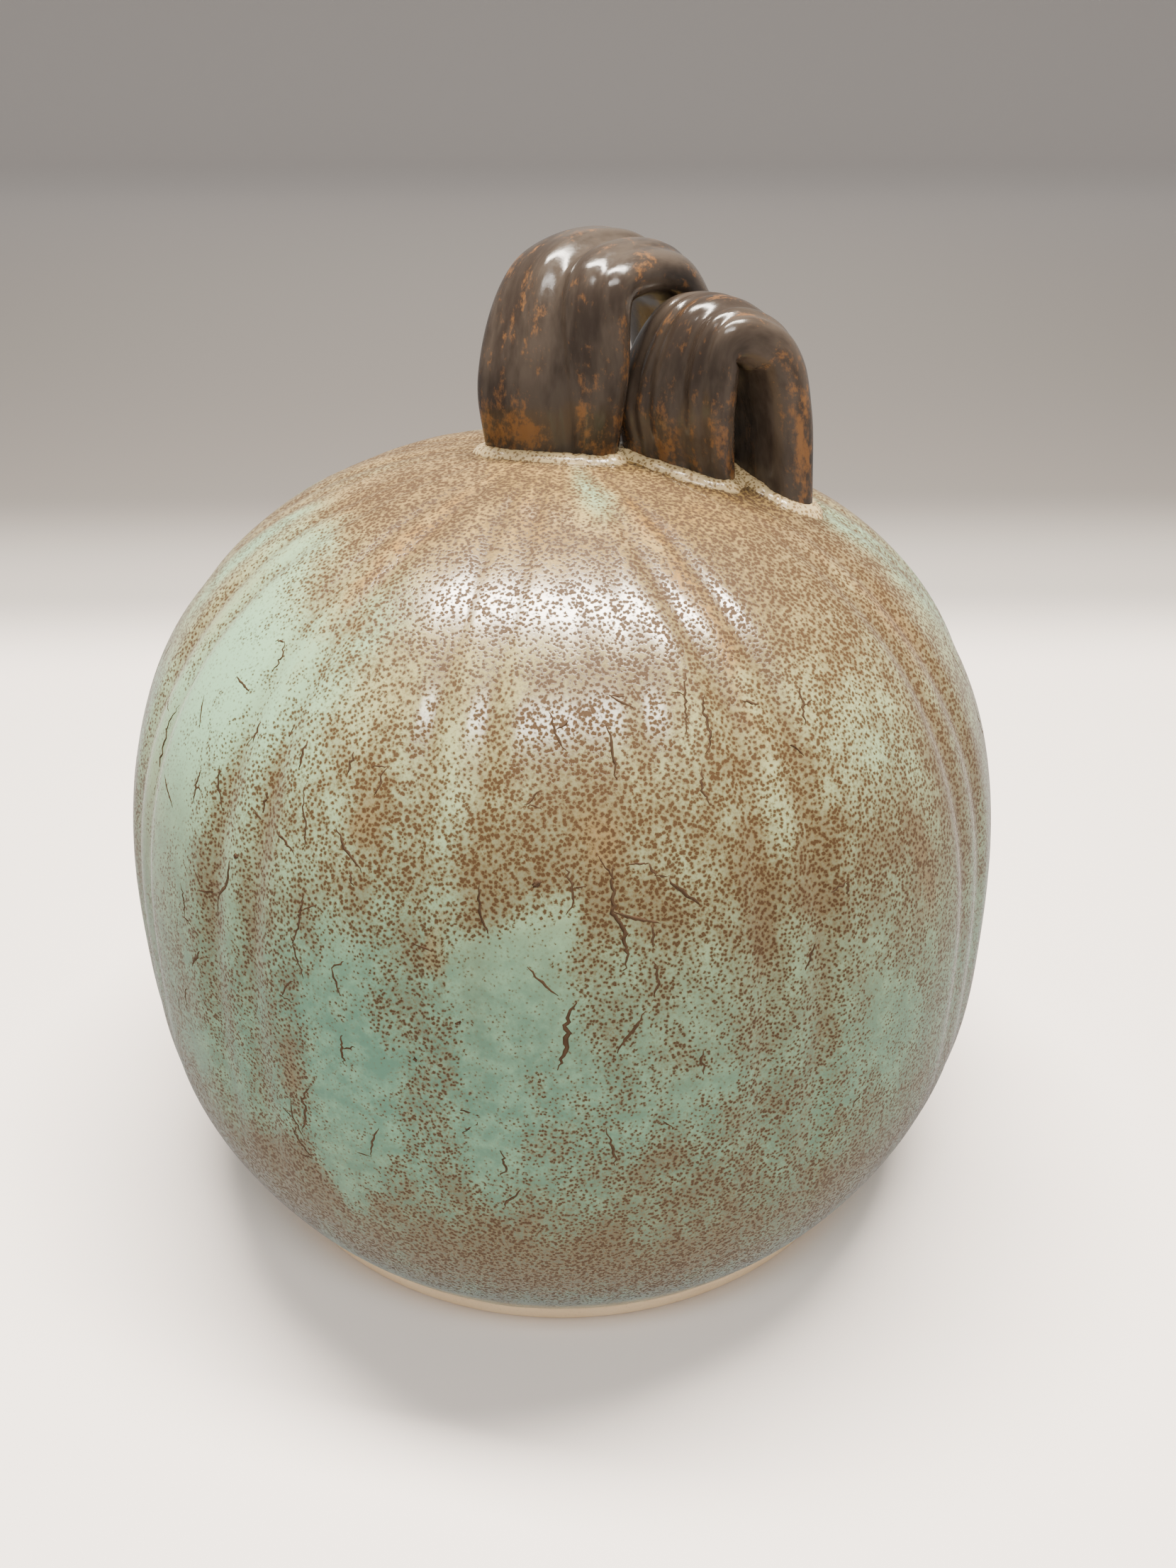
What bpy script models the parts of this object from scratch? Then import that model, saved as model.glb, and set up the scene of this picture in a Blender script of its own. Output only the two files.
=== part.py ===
"""Ceramic pumpkin figure: a closed, thrown stoneware shell with pressed ribs, a coat of
glaze over it, and a stem of two fluted clay straps, each bent into a loop and luted on.

Metres, +Z up. The table is z = 0, the Z axis is the axis the body was thrown on, and the
front faces -Y. An azimuth runs from the front towards +X. Heights and radii of the body
are those of its glazed surface; the clay and the glaze's inner face are offsets of it.
"""

import math

import bmesh
import bpy
from mathutils import Vector

MM = 0.001

# Body, as turned
BELLY_RADIUS = 75.0 * MM
BELLY_HEIGHT = 47.5 * MM
BODY_HEIGHT = 129.7 * MM
FOOT_RADIUS = 59.65 * MM
BAND_RADIUS = 60.1 * MM
LOWER_POWER = 2.3
DOME_RADIAL_POWER = 2.25
DOME_UPRIGHT_POWER = 2.845

# Wall, foot ring and kiln vent
WALL = 6.0 * MM
FLOOR = 7.0 * MM
FOOT_BAND = 3.0 * MM
FOOT_CHAMFER = 0.5 * MM
FOOT_RING_WIDTH = 10.0 * MM
FOOT_RECESS = 2.0 * MM
VENT_RADIUS = 3.5 * MM
VENT_COLLAR_RADIUS = 9.0 * MM

# Glaze coat, and the gap between any two solids that touch
GLAZE = 0.8 * MM
GAP = 0.3 * MM

# Ribs: each is a soft ridge between two pressed grooves. Azimuth in degrees, and strength.
RIBS = (
    (-65.5, 1.0),
    (-40.0, 1.0),
    (-13.0, 0.8),
    (7.0, 0.4),
    (25.0, 1.0),
    (58.5, 1.0),
    (84.0, 0.9),
    (110.0, 1.0),
    (137.0, 0.8),
    (163.0, 1.0),
    (190.0, 1.0),
    (216.0, 0.8),
    (242.0, 1.0),
    (268.0, 0.9),
)
GROOVE_OFFSET = 3.2
GROOVE_DEPTH = 1.0 * MM
RIDGE_DEPTH = 0.1 * MM
LOBE_SWELL = 0.35 * MM
RIB_START, RIB_FULL = 0.10, 0.45
RIB_FADE_RADIUS = 42.0 * MM

# Room left round a seam where the glaze coat opens for it, and the opening's reach below
# and above the pole
WINDOW_CLEARANCE = GAP + 0.1 * MM
WINDOW_DEPTH = 20.0 * MM
WINDOW_HEADROOM = 5.0 * MM

# Mesh fineness
PROFILE_SAMPLES = 400
RINGS = 16
CAVITY_SEGMENTS = 36
CAVITY_RINGS = 12
STRAP_SIDES = 24
STRAP_STATIONS = 22
SEAM_SIDES = 28
PATH_STEP = 0.05
MERGE_DISTANCE = 0.01 * MM
CREASE_ANGLE = 40.0

# Stem: each strap runs through six stations from its front foot over the top to its back
# foot. A station has its plan position and height over the dome in mm, the direction of the
# strap's breadth in the plan in degrees from +X, how far that direction tilts up, in degrees,
# and the strap's width and thickness in mm.
LARGE_LOOP = (
    ((-1.7, -2.7, 0.0), -20.0, 0.0, 21.0, 8.4),
    ((-1.3, -4.2, 12.5), -16.0, 0.0, 22.8, 8.4),
    ((2.2, -0.3, 26.2), -42.0, -4.0, 22.4, 8.4),
    ((13.3, 10.4, 27.5), -54.0, -8.0, 21.0, 8.4),
    ((19.4, 17.6, 15.4), -49.0, -3.0, 19.8, 8.2),
    ((20.8, 18.4, 0.0), -46.0, 0.0, 19.0, 8.0),
)
SMALL_LOOP = (
    ((18.7, -5.7, 0.0), -34.0, 0.0, 18.0, 8.6),
    ((17.9, -7.0, 10.5), -38.0, 0.0, 18.8, 8.8),
    ((21.4, -6.8, 21.2), -55.0, -5.0, 17.8, 8.8),
    ((29.0, -4.2, 20.2), -64.0, -7.0, 17.0, 8.8),
    ((32.6, -3.6, 12.0), -66.0, -2.0, 16.4, 8.8),
    ((33.7, -4.8, 0.0), -62.0, 0.0, 15.2, 8.4),
)
SECTION_POWER = 2.6
FLUTE_DEPTH = 0.7 * MM
FLUTES = 3
FLUTE_EDGE_POWER = 4
# The share of a strap's path over which its section turns level with the dome at each foot
FOOT_BLEND = 0.3

# Slip seams: how far they reach past the strap, how high they stand, and the shares of both
# where their rounded rim starts
SEAM_MARGIN = 0.7 * MM
SEAM_RISE = 0.6 * MM
SEAM_SHOULDER = 0.5
SEAM_RIM = 0.3

# Colour and roughness of each material
FINISHES = {
    "bare_stoneware": ((0.66, 0.48, 0.30), 0.85),
    "turquoise_glaze": ((0.33, 0.50, 0.42), 0.30),
    "dark_stem_glaze": ((0.060, 0.042, 0.025), 0.12),
    "slip_seam": ((0.62, 0.55, 0.40), 0.25),
}


def smoothstep(low, high, value):
    """0 below low, 1 above high, and a smooth rise between them."""
    x = min(max((value - low) / (high - low), 0.0), 1.0)
    return x * x * (3.0 - 2.0 * x)


# ---------------------------------------------------------------- body surface

def turned_profile():
    """The glazed outline from foot to pole, as closely spaced (radius, height) points."""
    points = [(FOOT_RADIUS, 0.0)]
    for i in range(PROFILE_SAMPLES):
        z = FOOT_BAND + (BELLY_HEIGHT - FOOT_BAND) * i / PROFILE_SAMPLES
        flare = ((BELLY_HEIGHT - z) / (BELLY_HEIGHT - FOOT_BAND)) ** LOWER_POWER
        points.append((BELLY_RADIUS - (BELLY_RADIUS - BAND_RADIUS) * flare, z))
    for i in range(PROFILE_SAMPLES + 1):
        angle = 0.5 * math.pi * i / PROFILE_SAMPLES
        r = BELLY_RADIUS * abs(math.cos(angle)) ** (2.0 / DOME_RADIAL_POWER)
        rise = math.sin(angle) ** (2.0 / DOME_UPRIGHT_POWER)
        points.append((r, BELLY_HEIGHT + (BODY_HEIGHT - BELLY_HEIGHT) * rise))
    return points


PROFILE = turned_profile()


def arc_lengths(points):
    """Running length along a row of points."""
    lengths = [0.0]
    for a, b in zip(points, points[1:]):
        lengths.append(lengths[-1] + math.dist(a, b))
    return lengths


PROFILE_LENGTHS = arc_lengths(PROFILE)
PROFILE_LENGTH = PROFILE_LENGTHS[-1]


def profile_point(fraction, inset=0.0):
    """Point at a share of the outline's length, moved inwards by inset."""
    target = min(max(fraction, 0.0), 1.0) * PROFILE_LENGTH
    i = 1
    while i < len(PROFILE) - 1 and PROFILE_LENGTHS[i] < target:
        i += 1
    (r0, z0), (r1, z1) = PROFILE[i - 1], PROFILE[i]
    span = PROFILE_LENGTHS[i] - PROFILE_LENGTHS[i - 1]
    share = (target - PROFILE_LENGTHS[i - 1]) / span
    r = r0 + (r1 - r0) * share
    z = z0 + (z1 - z0) * share
    normal_r = (z1 - z0) / span
    normal_z = -(r1 - r0) / span
    return max(r - normal_r * inset, 0.0), z - normal_z * inset


def fraction_at_height(height):
    """Share of the outline's length below a height under the pole."""
    for (r, z), length in zip(PROFILE, PROFILE_LENGTHS):
        if z >= height:
            return length / PROFILE_LENGTH
    return 1.0


def dome_height(x, y):
    """Height of the glazed dome over a point of the plan, ribs left out."""
    radial = min(math.hypot(x, y) / BELLY_RADIUS, 1.0) ** DOME_RADIAL_POWER
    return BELLY_HEIGHT + (BODY_HEIGHT - BELLY_HEIGHT) * (1.0 - radial) ** (1.0 / DOME_UPRIGHT_POWER)


def rib_columns():
    """Azimuths of the mesh's columns with the relief of each: groove, ridge, groove, then
    two columns on the lobe up to the next rib."""
    columns = []
    for i, (centre, strength) in enumerate(RIBS):
        following = RIBS[(i + 1) % len(RIBS)][0]
        if i == len(RIBS) - 1:
            following += 360.0
        columns.append((centre - GROOVE_OFFSET, -GROOVE_DEPTH * strength))
        columns.append((centre, -RIDGE_DEPTH * strength))
        columns.append((centre + GROOVE_OFFSET, -GROOVE_DEPTH * strength))
        lobe_start = centre + GROOVE_OFFSET
        lobe_width = following - GROOVE_OFFSET - lobe_start
        for share in (1.0 / 3.0, 2.0 / 3.0):
            columns.append((lobe_start + lobe_width * share, LOBE_SWELL))
    return columns


COLUMNS = rib_columns()


def rib_envelope(fraction, radius):
    """How strongly the ribs show: they start above the foot and melt into the pole."""
    rise = smoothstep(RIB_START, RIB_FULL, fraction)
    return rise * smoothstep(0.0, RIB_FADE_RADIUS, radius)


def body_ring(fraction, inset=0.0):
    """One ring of points round the body, with the ribs' relief."""
    radius, _ = profile_point(fraction)
    envelope = rib_envelope(fraction, radius)
    ring = []
    for azimuth, relief in COLUMNS:
        r, z = profile_point(fraction, inset - relief * envelope)
        angle = math.radians(azimuth)
        ring.append(Vector((r * math.sin(angle), -r * math.cos(angle), z)))
    return ring


def plain_ring(radius, height):
    """A level ring of points with the body's columns."""
    ring = []
    for azimuth, _ in COLUMNS:
        angle = math.radians(azimuth)
        ring.append(Vector((radius * math.sin(angle), -radius * math.cos(angle), height)))
    return ring


# ---------------------------------------------------------------- mesh helpers

def add_object(name, mesh_data, material):
    """A linked object round a bmesh, smooth shaded with crisp edges kept."""
    bmesh.ops.recalc_face_normals(mesh_data, faces=mesh_data.faces)
    mesh = bpy.data.meshes.new(name)
    mesh_data.to_mesh(mesh)
    mesh_data.free()
    mesh.shade_smooth()
    mesh.set_sharp_from_angle(angle=math.radians(CREASE_ANGLE))
    piece = bpy.data.objects.new(name, mesh)
    bpy.context.scene.collection.objects.link(piece)
    if material is not None:
        mesh.materials.append(material)
    return piece


def skin_rings(mesh_data, rings, start=None, end=None):
    """Quads between neighbouring rings, closed with a fan to the points start and end."""
    loops = [[mesh_data.verts.new(point) for point in ring] for ring in rings]
    count = len(loops[0])
    for lower, upper in zip(loops, loops[1:]):
        for i in range(count):
            j = (i + 1) % count
            mesh_data.faces.new((lower[i], lower[j], upper[j], upper[i]))
    for point, loop in ((start, loops[0]), (end, loops[-1])):
        if point is not None:
            tip = mesh_data.verts.new(point)
            for i in range(count):
                mesh_data.faces.new((loop[i], loop[(i + 1) % count], tip))
    return loops


def cut(piece, cutter):
    """Takes the cutter's volume out of the piece."""
    cutter.hide_render = True
    cutter.display_type = "WIRE"
    modifier = piece.modifiers.new("cut_" + cutter.name, "BOOLEAN")
    modifier.operation = "DIFFERENCE"
    modifier.solver = "EXACT"
    modifier.object = cutter


def make_material(name):
    """A plain Principled material with its finish from the table."""
    colour, roughness = FINISHES[name]
    material = bpy.data.materials.new(name)
    material.use_nodes = True
    shader = material.node_tree.nodes["Principled BSDF"]
    shader.inputs["Base Color"].default_value = (*colour, 1.0)
    shader.inputs["Roughness"].default_value = roughness
    return material


# ---------------------------------------------------------------- body pieces

def ring_fractions(first):
    """Even steps along the outline from the share first, the pole itself left out."""
    return [first + (1.0 - first) * i / RINGS for i in range(RINGS)]


def make_cavity_cutter():
    """The hollow inside the wall, joined to the vent through the floor."""
    outline = [Vector((0.0, 0.0, -FLOOR)), Vector((VENT_RADIUS, 0.0, -FLOOR)),
               Vector((VENT_RADIUS, 0.0, FLOOR))]
    first = fraction_at_height(FLOOR + WALL)
    floor_corner, _ = profile_point(fraction_at_height(FLOOR), WALL + GLAZE)
    outline.append(Vector((floor_corner - WALL, 0.0, FLOOR)))
    for i in range(CAVITY_RINGS):
        fraction = first + (1.0 - first) * i / CAVITY_RINGS
        r, z = profile_point(fraction, WALL + GLAZE + GROOVE_DEPTH)
        outline.append(Vector((r, 0.0, z)))
    outline.append(Vector((0.0, 0.0, BODY_HEIGHT - WALL - GLAZE - GROOVE_DEPTH)))
    mesh_data = bmesh.new()
    verts = [mesh_data.verts.new(point) for point in outline]
    edges = [mesh_data.edges.new(pair) for pair in zip(verts, verts[1:])]
    bmesh.ops.spin(mesh_data, geom=verts + edges, cent=(0, 0, 0), axis=(0, 0, 1),
                   angle=math.tau, steps=CAVITY_SEGMENTS, use_merge=True)
    bmesh.ops.remove_doubles(mesh_data, verts=mesh_data.verts, dist=MERGE_DISTANCE)
    return add_object("cavity_cutter", mesh_data, None)


def make_stoneware_body(material):
    """The clay shell: trimmed foot ring, bare foot band, ledge under the glaze, ribbed wall."""
    inset = GLAZE + GAP
    ring_inner = FOOT_RADIUS - FOOT_RING_WIDTH
    band_top, _ = profile_point(fraction_at_height(FOOT_BAND))
    rings = [
        plain_ring(VENT_COLLAR_RADIUS, FOOT_RECESS),
        plain_ring(ring_inner - FOOT_RECESS, FOOT_RECESS),
        plain_ring(ring_inner, 0.0),
        plain_ring(FOOT_RADIUS - FOOT_CHAMFER, 0.0),
        plain_ring(FOOT_RADIUS, FOOT_CHAMFER),
        plain_ring(band_top, FOOT_BAND),
        plain_ring(band_top - inset, FOOT_BAND),
    ]
    first = fraction_at_height(FOOT_BAND)
    rings += [body_ring(fraction, inset) for fraction in ring_fractions(first)[1:]]
    mesh_data = bmesh.new()
    skin_rings(mesh_data, rings, start=Vector((0.0, 0.0, FOOT_RECESS)),
               end=Vector((0.0, 0.0, BODY_HEIGHT - inset)))
    body = add_object("stoneware_body", mesh_data, material)
    cut(body, make_cavity_cutter())
    return body


def make_body_glaze(material, seam_outlines):
    """The glaze coat, from the line above the bare foot to the pole, with a window where
    each end of the stem is luted to the clay."""
    first = fraction_at_height(FOOT_BAND + GAP)
    fractions = ring_fractions(first)
    mesh_data = bmesh.new()
    outer = skin_rings(mesh_data, [body_ring(f) for f in fractions],
                       end=Vector((0.0, 0.0, BODY_HEIGHT)))
    inner = skin_rings(mesh_data, [body_ring(f, GLAZE) for f in fractions],
                       end=Vector((0.0, 0.0, BODY_HEIGHT - GLAZE)))
    count = len(outer[0])
    for i in range(count):
        j = (i + 1) % count
        mesh_data.faces.new((outer[0][i], outer[0][j], inner[0][j], inner[0][i]))
    glaze = add_object("body_glaze", mesh_data, material)
    for name, outline in seam_outlines.items():
        cut(glaze, make_window_cutter("window_" + name, outline))
    return glaze


def make_window_cutter(name, outline):
    """An upright prism over a seam's outline, wider by the gap."""
    centre = sum(outline, Vector((0.0, 0.0))) / len(outline)
    low, high = BODY_HEIGHT - WINDOW_DEPTH, BODY_HEIGHT + WINDOW_HEADROOM
    rings = []
    for z in (low, high):
        ring = []
        for point in outline:
            away = (point - centre).normalized() * WINDOW_CLEARANCE
            ring.append(Vector((*(point + away), z)))
        rings.append(ring)
    mesh_data = bmesh.new()
    skin_rings(mesh_data, rings, start=Vector((*centre, low)), end=Vector((*centre, high)))
    return add_object(name, mesh_data, None)


# ---------------------------------------------------------------- stem pieces

def blend_points(points, position):
    """A smooth Catmull-Rom curve through the points; position runs from 0 to their count - 1."""
    last = len(points) - 1
    i = min(int(position), last - 1)
    t = position - i
    before = points[i - 1] if i > 0 else points[0] * 2.0 - points[1]
    after = points[i + 2] if i + 2 <= last else points[last] * 2.0 - points[last - 1]
    start, end = points[i], points[i + 1]
    return 0.5 * (
        2.0 * start
        + (end - before) * t
        + (2.0 * before - 5.0 * start + 4.0 * end - after) * t * t
        + (3.0 * start - before - 3.0 * end + after) * t * t * t
    )


def strap_path(loop):
    """The loop's path in world metres: heights are added to the ground between its feet,
    which stand on their seams."""
    points = [Vector(station[0]) * MM for station in loop]
    first = dome_height(points[0].x, points[0].y)
    last = dome_height(points[-1].x, points[-1].y)
    for i, point in enumerate(points):
        share = i / (len(points) - 1)
        ground = first * (1.0 - share) + last * share
        point.z = ground + max(point.z, SEAM_RISE + GAP)
    return points


def strap_station(loop, share):
    """The strap at a share of its path: centre, side and outward directions, width and
    thickness."""
    points = strap_path(loop)
    end = len(points) - 1
    position = share * end
    ahead = blend_points(points, min(position + PATH_STEP, end))
    behind = blend_points(points, max(position - PATH_STEP, 0.0))
    tangent = (ahead - behind).normalized()
    turns = [Vector((math.radians(facing), math.radians(tilt))) for _, facing, tilt, _, _ in loop]
    facing, tilt = blend_points(turns, position)
    side = Vector((math.cos(facing) * math.cos(tilt), math.sin(facing) * math.cos(tilt),
                   math.sin(tilt)))
    side = (side - tangent * side.dot(tangent)).normalized()
    sizes = [Vector((width, thickness)) * MM for _, _, _, width, thickness in loop]
    width, thickness = blend_points(sizes, position)
    return blend_points(points, position), side, side.cross(tangent), width, thickness


def soft_oval(sides):
    """Points of an oval with soft corners that fills the square from -1 to 1."""
    points = []
    for i in range(sides):
        angle = math.tau * i / sides
        c, s = math.cos(angle), math.sin(angle)
        across = math.copysign(abs(c) ** (2.0 / SECTION_POWER), c)
        outward = math.copysign(abs(s) ** (2.0 / SECTION_POWER), s)
        points.append((across, outward))
    return points


def section_offsets(width, thickness):
    """The strap's section, as (sideways, outward) offsets: a soft oval with lobes divided
    by shallow flutes along its outer face."""
    offsets = []
    for across, outward in soft_oval(STRAP_SIDES):
        flute = 0.5 + 0.5 * math.cos(math.tau * FLUTES * (across + 1.0) * 0.5)
        press = FLUTE_DEPTH * flute * max(outward, 0.0) * (1.0 - across ** FLUTE_EDGE_POWER)
        offsets.append((0.5 * width * across, 0.5 * thickness * outward - press))
    return offsets


def foot_outline(loop, share, margin):
    """Plan outline of the strap's end, grown by a margin."""
    centre, side, _, width, thickness = strap_station(loop, share)
    along = Vector((side.x, side.y)).normalized()
    outwards = Vector((along.y, -along.x))
    outline = []
    for across, outward in soft_oval(SEAM_SIDES):
        outline.append(centre.xy + along * (0.5 * width + margin) * across
                       + outwards * (0.5 * thickness + margin) * outward)
    return outline


def on_dome(point, rise):
    """The point dropped or lifted to a height over the glazed dome."""
    return Vector((point.x, point.y, dome_height(point.x, point.y) + rise))


def strap_ring(loop, share):
    """One ring of the strap: square to its path, but parallel to the dome at its feet."""
    centre, side, outward, width, thickness = strap_station(loop, share)
    foot = 1.0 - smoothstep(0.0, FOOT_BLEND, min(share, 1.0 - share))
    ground = dome_height(centre.x, centre.y)
    ring = []
    for a, b in section_offsets(width, thickness):
        point = centre + side * a + outward * b
        level = centre.z + dome_height(point.x, point.y) - ground
        point.z = point.z * (1.0 - foot) + level * foot
        ring.append(point)
    return ring


def make_stem_loop(name, loop, material):
    """A strap swept along its path, both ends fitted to the dome over their slip seams."""
    rings = [strap_ring(loop, i / STRAP_STATIONS) for i in range(STRAP_STATIONS + 1)]
    rise = SEAM_RISE + GAP
    start = on_dome(sum(rings[0], Vector()) / STRAP_SIDES, rise)
    end = on_dome(sum(rings[-1], Vector()) / STRAP_SIDES, rise)
    mesh_data = bmesh.new()
    skin_rings(mesh_data, rings, start=start, end=end)
    return add_object(name, mesh_data, material)


def make_slip_seam(name, loop, share, material):
    """The pad of slip that lutes one end of a strap to the clay, squeezed out round it."""
    lift = GAP - (GLAZE + GAP)
    rim = foot_outline(loop, share, SEAM_MARGIN)
    shoulder = foot_outline(loop, share, SEAM_MARGIN * SEAM_SHOULDER)
    rings = [
        [on_dome(point, lift) for point in shoulder],
        [on_dome(point, lift) for point in rim],
        [on_dome(point, SEAM_RISE * SEAM_RIM) for point in rim],
        [on_dome(point, SEAM_RISE) for point in shoulder],
    ]
    middle = sum(rim, Vector((0.0, 0.0))) / len(rim)
    mesh_data = bmesh.new()
    skin_rings(mesh_data, rings, start=on_dome(middle, lift), end=on_dome(middle, SEAM_RISE))
    return add_object(name, mesh_data, material)


# ---------------------------------------------------------------- assembly

def clear_scene():
    """Removes whatever objects the file already holds."""
    for piece in list(bpy.data.objects):
        bpy.data.objects.remove(piece, do_unlink=True)


SEAMS = {
    "large_loop_front_seam": (LARGE_LOOP, 0.0),
    "large_loop_back_seam": (LARGE_LOOP, 1.0),
    "small_loop_front_seam": (SMALL_LOOP, 0.0),
    "small_loop_end_seam": (SMALL_LOOP, 1.0),
}


def main():
    """Builds every piece."""
    clear_scene()
    make_stoneware_body(make_material("bare_stoneware"))
    outlines = {name: foot_outline(loop, share, SEAM_MARGIN)
                for name, (loop, share) in SEAMS.items()}
    make_body_glaze(make_material("turquoise_glaze"), outlines)
    stem_glaze = make_material("dark_stem_glaze")
    make_stem_loop("large_stem_loop", LARGE_LOOP, stem_glaze)
    make_stem_loop("small_stem_loop", SMALL_LOOP, stem_glaze)
    slip = make_material("slip_seam")
    for name, (loop, share) in SEAMS.items():
        make_slip_seam(name, loop, share, slip)


main()
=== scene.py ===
"""Looks of the ceramic pumpkin figure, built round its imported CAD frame.

The glaze coat, the clay shell, the two stem straps and their slip seams are remade here
with finer meshes on the CAD's own dimensions. Lengths are in mm until they become a mesh.
An azimuth runs in degrees from the front (-Y) towards +X, and a run is the distance from
the table up the body's outline to the pole, in mm.
"""

import math
import random

import bpy
import numpy as np
from mathutils import Matrix, Vector, noise


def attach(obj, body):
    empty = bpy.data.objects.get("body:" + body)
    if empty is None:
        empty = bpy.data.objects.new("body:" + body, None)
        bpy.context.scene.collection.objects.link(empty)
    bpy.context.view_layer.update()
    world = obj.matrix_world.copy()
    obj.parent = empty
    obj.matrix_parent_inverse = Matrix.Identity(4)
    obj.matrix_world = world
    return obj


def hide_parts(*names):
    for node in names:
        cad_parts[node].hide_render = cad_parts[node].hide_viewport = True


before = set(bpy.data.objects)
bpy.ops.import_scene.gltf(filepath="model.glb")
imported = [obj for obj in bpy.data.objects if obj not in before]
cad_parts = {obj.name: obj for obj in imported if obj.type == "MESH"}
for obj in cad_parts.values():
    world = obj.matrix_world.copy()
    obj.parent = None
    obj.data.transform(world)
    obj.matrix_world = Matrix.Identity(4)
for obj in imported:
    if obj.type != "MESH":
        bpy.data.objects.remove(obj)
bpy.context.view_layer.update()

MM = 0.001

# ------------------------------------------------------------------ dimensions, as in the CAD

BELLY_RADIUS = 75.0
BELLY_HEIGHT = 47.5
BODY_HEIGHT = 129.7
FOOT_RADIUS = 59.65
BAND_RADIUS = 60.1
LOWER_POWER = 2.3
DOME_RADIAL_POWER = 2.25
DOME_UPRIGHT_POWER = 2.845

WALL = 6.0
FLOOR = 7.0
FOOT_BAND = 3.0
FOOT_CHAMFER = 0.5
FOOT_RING_WIDTH = 10.0
FOOT_RECESS = 2.0
VENT_RADIUS = 3.5
GLAZE = 0.8
GAP = 0.3

# Ribs: azimuth, strength, and how far the rib swings in azimuth near the pole, in degrees
RIBS = (
    (-65.5, 1.0, 1.0),
    (-40.0, 1.0, 2.0),
    (-13.0, 0.8, 0.5),
    (7.0, 0.4, -1.5),
    (25.0, 1.0, -5.0),
    (58.5, 1.0, -1.0),
    (84.0, 0.9, 1.5),
    (110.0, 1.0, -2.0),
    (137.0, 0.8, 1.5),
    (163.0, 1.0, -1.0),
    (190.0, 1.0, 2.0),
    (216.0, 0.8, -2.0),
    (242.0, 1.0, 1.0),
    (268.0, 0.9, -1.0),
)
GROOVE_OFFSET = 3.4
GROOVE_SPREAD = 1.9
GROOVE_DEPTH = 0.65
RIDGE_SPREAD = 2.2
RIDGE_SINK = 0.45
LOBE_SWELL = 0.35
RIB_START, RIB_FULL = 18.0, 81.0
RIB_FADE_RADIUS = 38.0
SWING_START, SWING_END = 112.0, 158.0
# Near the pole the grooves stand further apart and spread, in degrees, and grow shallow
SWUNG_OFFSET, SWUNG_SPREAD = 1.4, 0.5
CROWN_SHALLOW = 0.65
CROWN_START, CROWN_END = 100.0, 140.0
# The maker's unevenness: height in mm, waves round the body, twist per mm of run, and phase
UNEVEN_WAVES = ((0.22, 2.0, 0.0, 0.6), (0.14, 5.0, 0.045, 0.0), (0.08, 9.0, -0.09, 0.0))
UNEVEN_START, UNEVEN_FULL = 4.0, 30.0

# Stem straps: plan position and height over the dome, breadth direction and tilt, width and
# thickness at six stations, as in the CAD
LARGE_LOOP = (
    ((-1.5, -2.7, 0.0), -20.0, 0.0, 21.6, 8.4),
    ((-1.1, -4.2, 12.5), -16.0, 0.0, 23.4, 8.4),
    ((2.2, -0.3, 26.2), -42.0, -4.0, 22.4, 8.4),
    ((13.3, 10.4, 27.5), -54.0, -8.0, 21.0, 8.4),
    ((19.4, 17.6, 15.4), -49.0, -3.0, 19.8, 8.2),
    ((20.8, 18.4, 0.0), -46.0, 0.0, 19.0, 8.0),
)
SMALL_LOOP = (
    ((18.3, -5.5, 0.0), -34.0, 0.0, 19.0, 8.6),
    ((17.4, -6.7, 10.5), -38.0, 0.0, 20.0, 8.8),
    ((21.2, -6.6, 21.2), -55.0, -5.0, 18.2, 8.8),
    ((28.7, -3.6, 20.2), -64.0, -7.0, 18.2, 8.8),
    ((32.1, -2.5, 12.0), -66.0, -2.0, 18.8, 9.0),
    ((33.1, -3.7, 0.0), -62.0, 0.0, 17.6, 9.0),
)
SECTION_POWER = 2.6
PATH_STEP = 0.05
FOOT_BLEND = 0.3
STRAP_RISE = 0.5

# Flutes on a strap's outer face: place across it (-1 to 1) at its front foot, its top and
# its back foot, depth in mm, and width as a share of half the strap
LARGE_FLUTES = (
    (0.36, -0.02, 0.20, 1.70, 0.17),
    (-0.26, -0.50, -0.40, 0.22, 0.20),
    (0.74, 0.62, 0.60, 0.40, 0.10),
)
SMALL_FLUTES = (
    (-0.45, -0.52, -0.50, 0.40, 0.08),
    (-0.18, -0.28, -0.30, 0.45, 0.09),
    (0.36, 0.26, 0.20, 1.00, 0.17),
    (0.76, 0.66, 0.60, 0.60, 0.10),
)
FLUTE_EDGE_POWER = 8
FLUTE_ROUND = 0.7
EDGE_SHOWS_POWER = 6
# Pull marks: depth in mm, how many across and along the strap, and a shift of the noise
PULL_MARKS = ((0.06, 9.0, 2.2, 0.0), (0.03, 22.0, 3.0, 5.0))
DENT, DENTS_ACROSS, DENTS_ALONG, DENT_SHIFT = 0.18, 1.6, 9.0, 9.0
# How far apart the materials' noise is read on the two faces of a strap, in metres
FACE_SHIFT = 0.004

# Mesh fineness
SKIN_COLUMNS = 384
SKIN_RINGS = 236
INNER_RINGS = 14
SHELL_COLUMNS = 192
STRAP_SIDES = 128
STRAP_STATIONS = 190
BEAD_SIDES = 160
LOWER_STEPS, DOME_STEPS = 500, 1000


# ------------------------------------------------------------------ small helpers

def smoothstep(low, high, value):
    """0 below low, 1 above high, and a smooth rise between them; works on arrays."""
    x = np.clip((value - low) / (high - low), 0.0, 1.0)
    return x * x * (3.0 - 2.0 * x)


def wrapped(degrees):
    """An angle brought to -180 to 180."""
    return (degrees + 180.0) % 360.0 - 180.0


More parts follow.
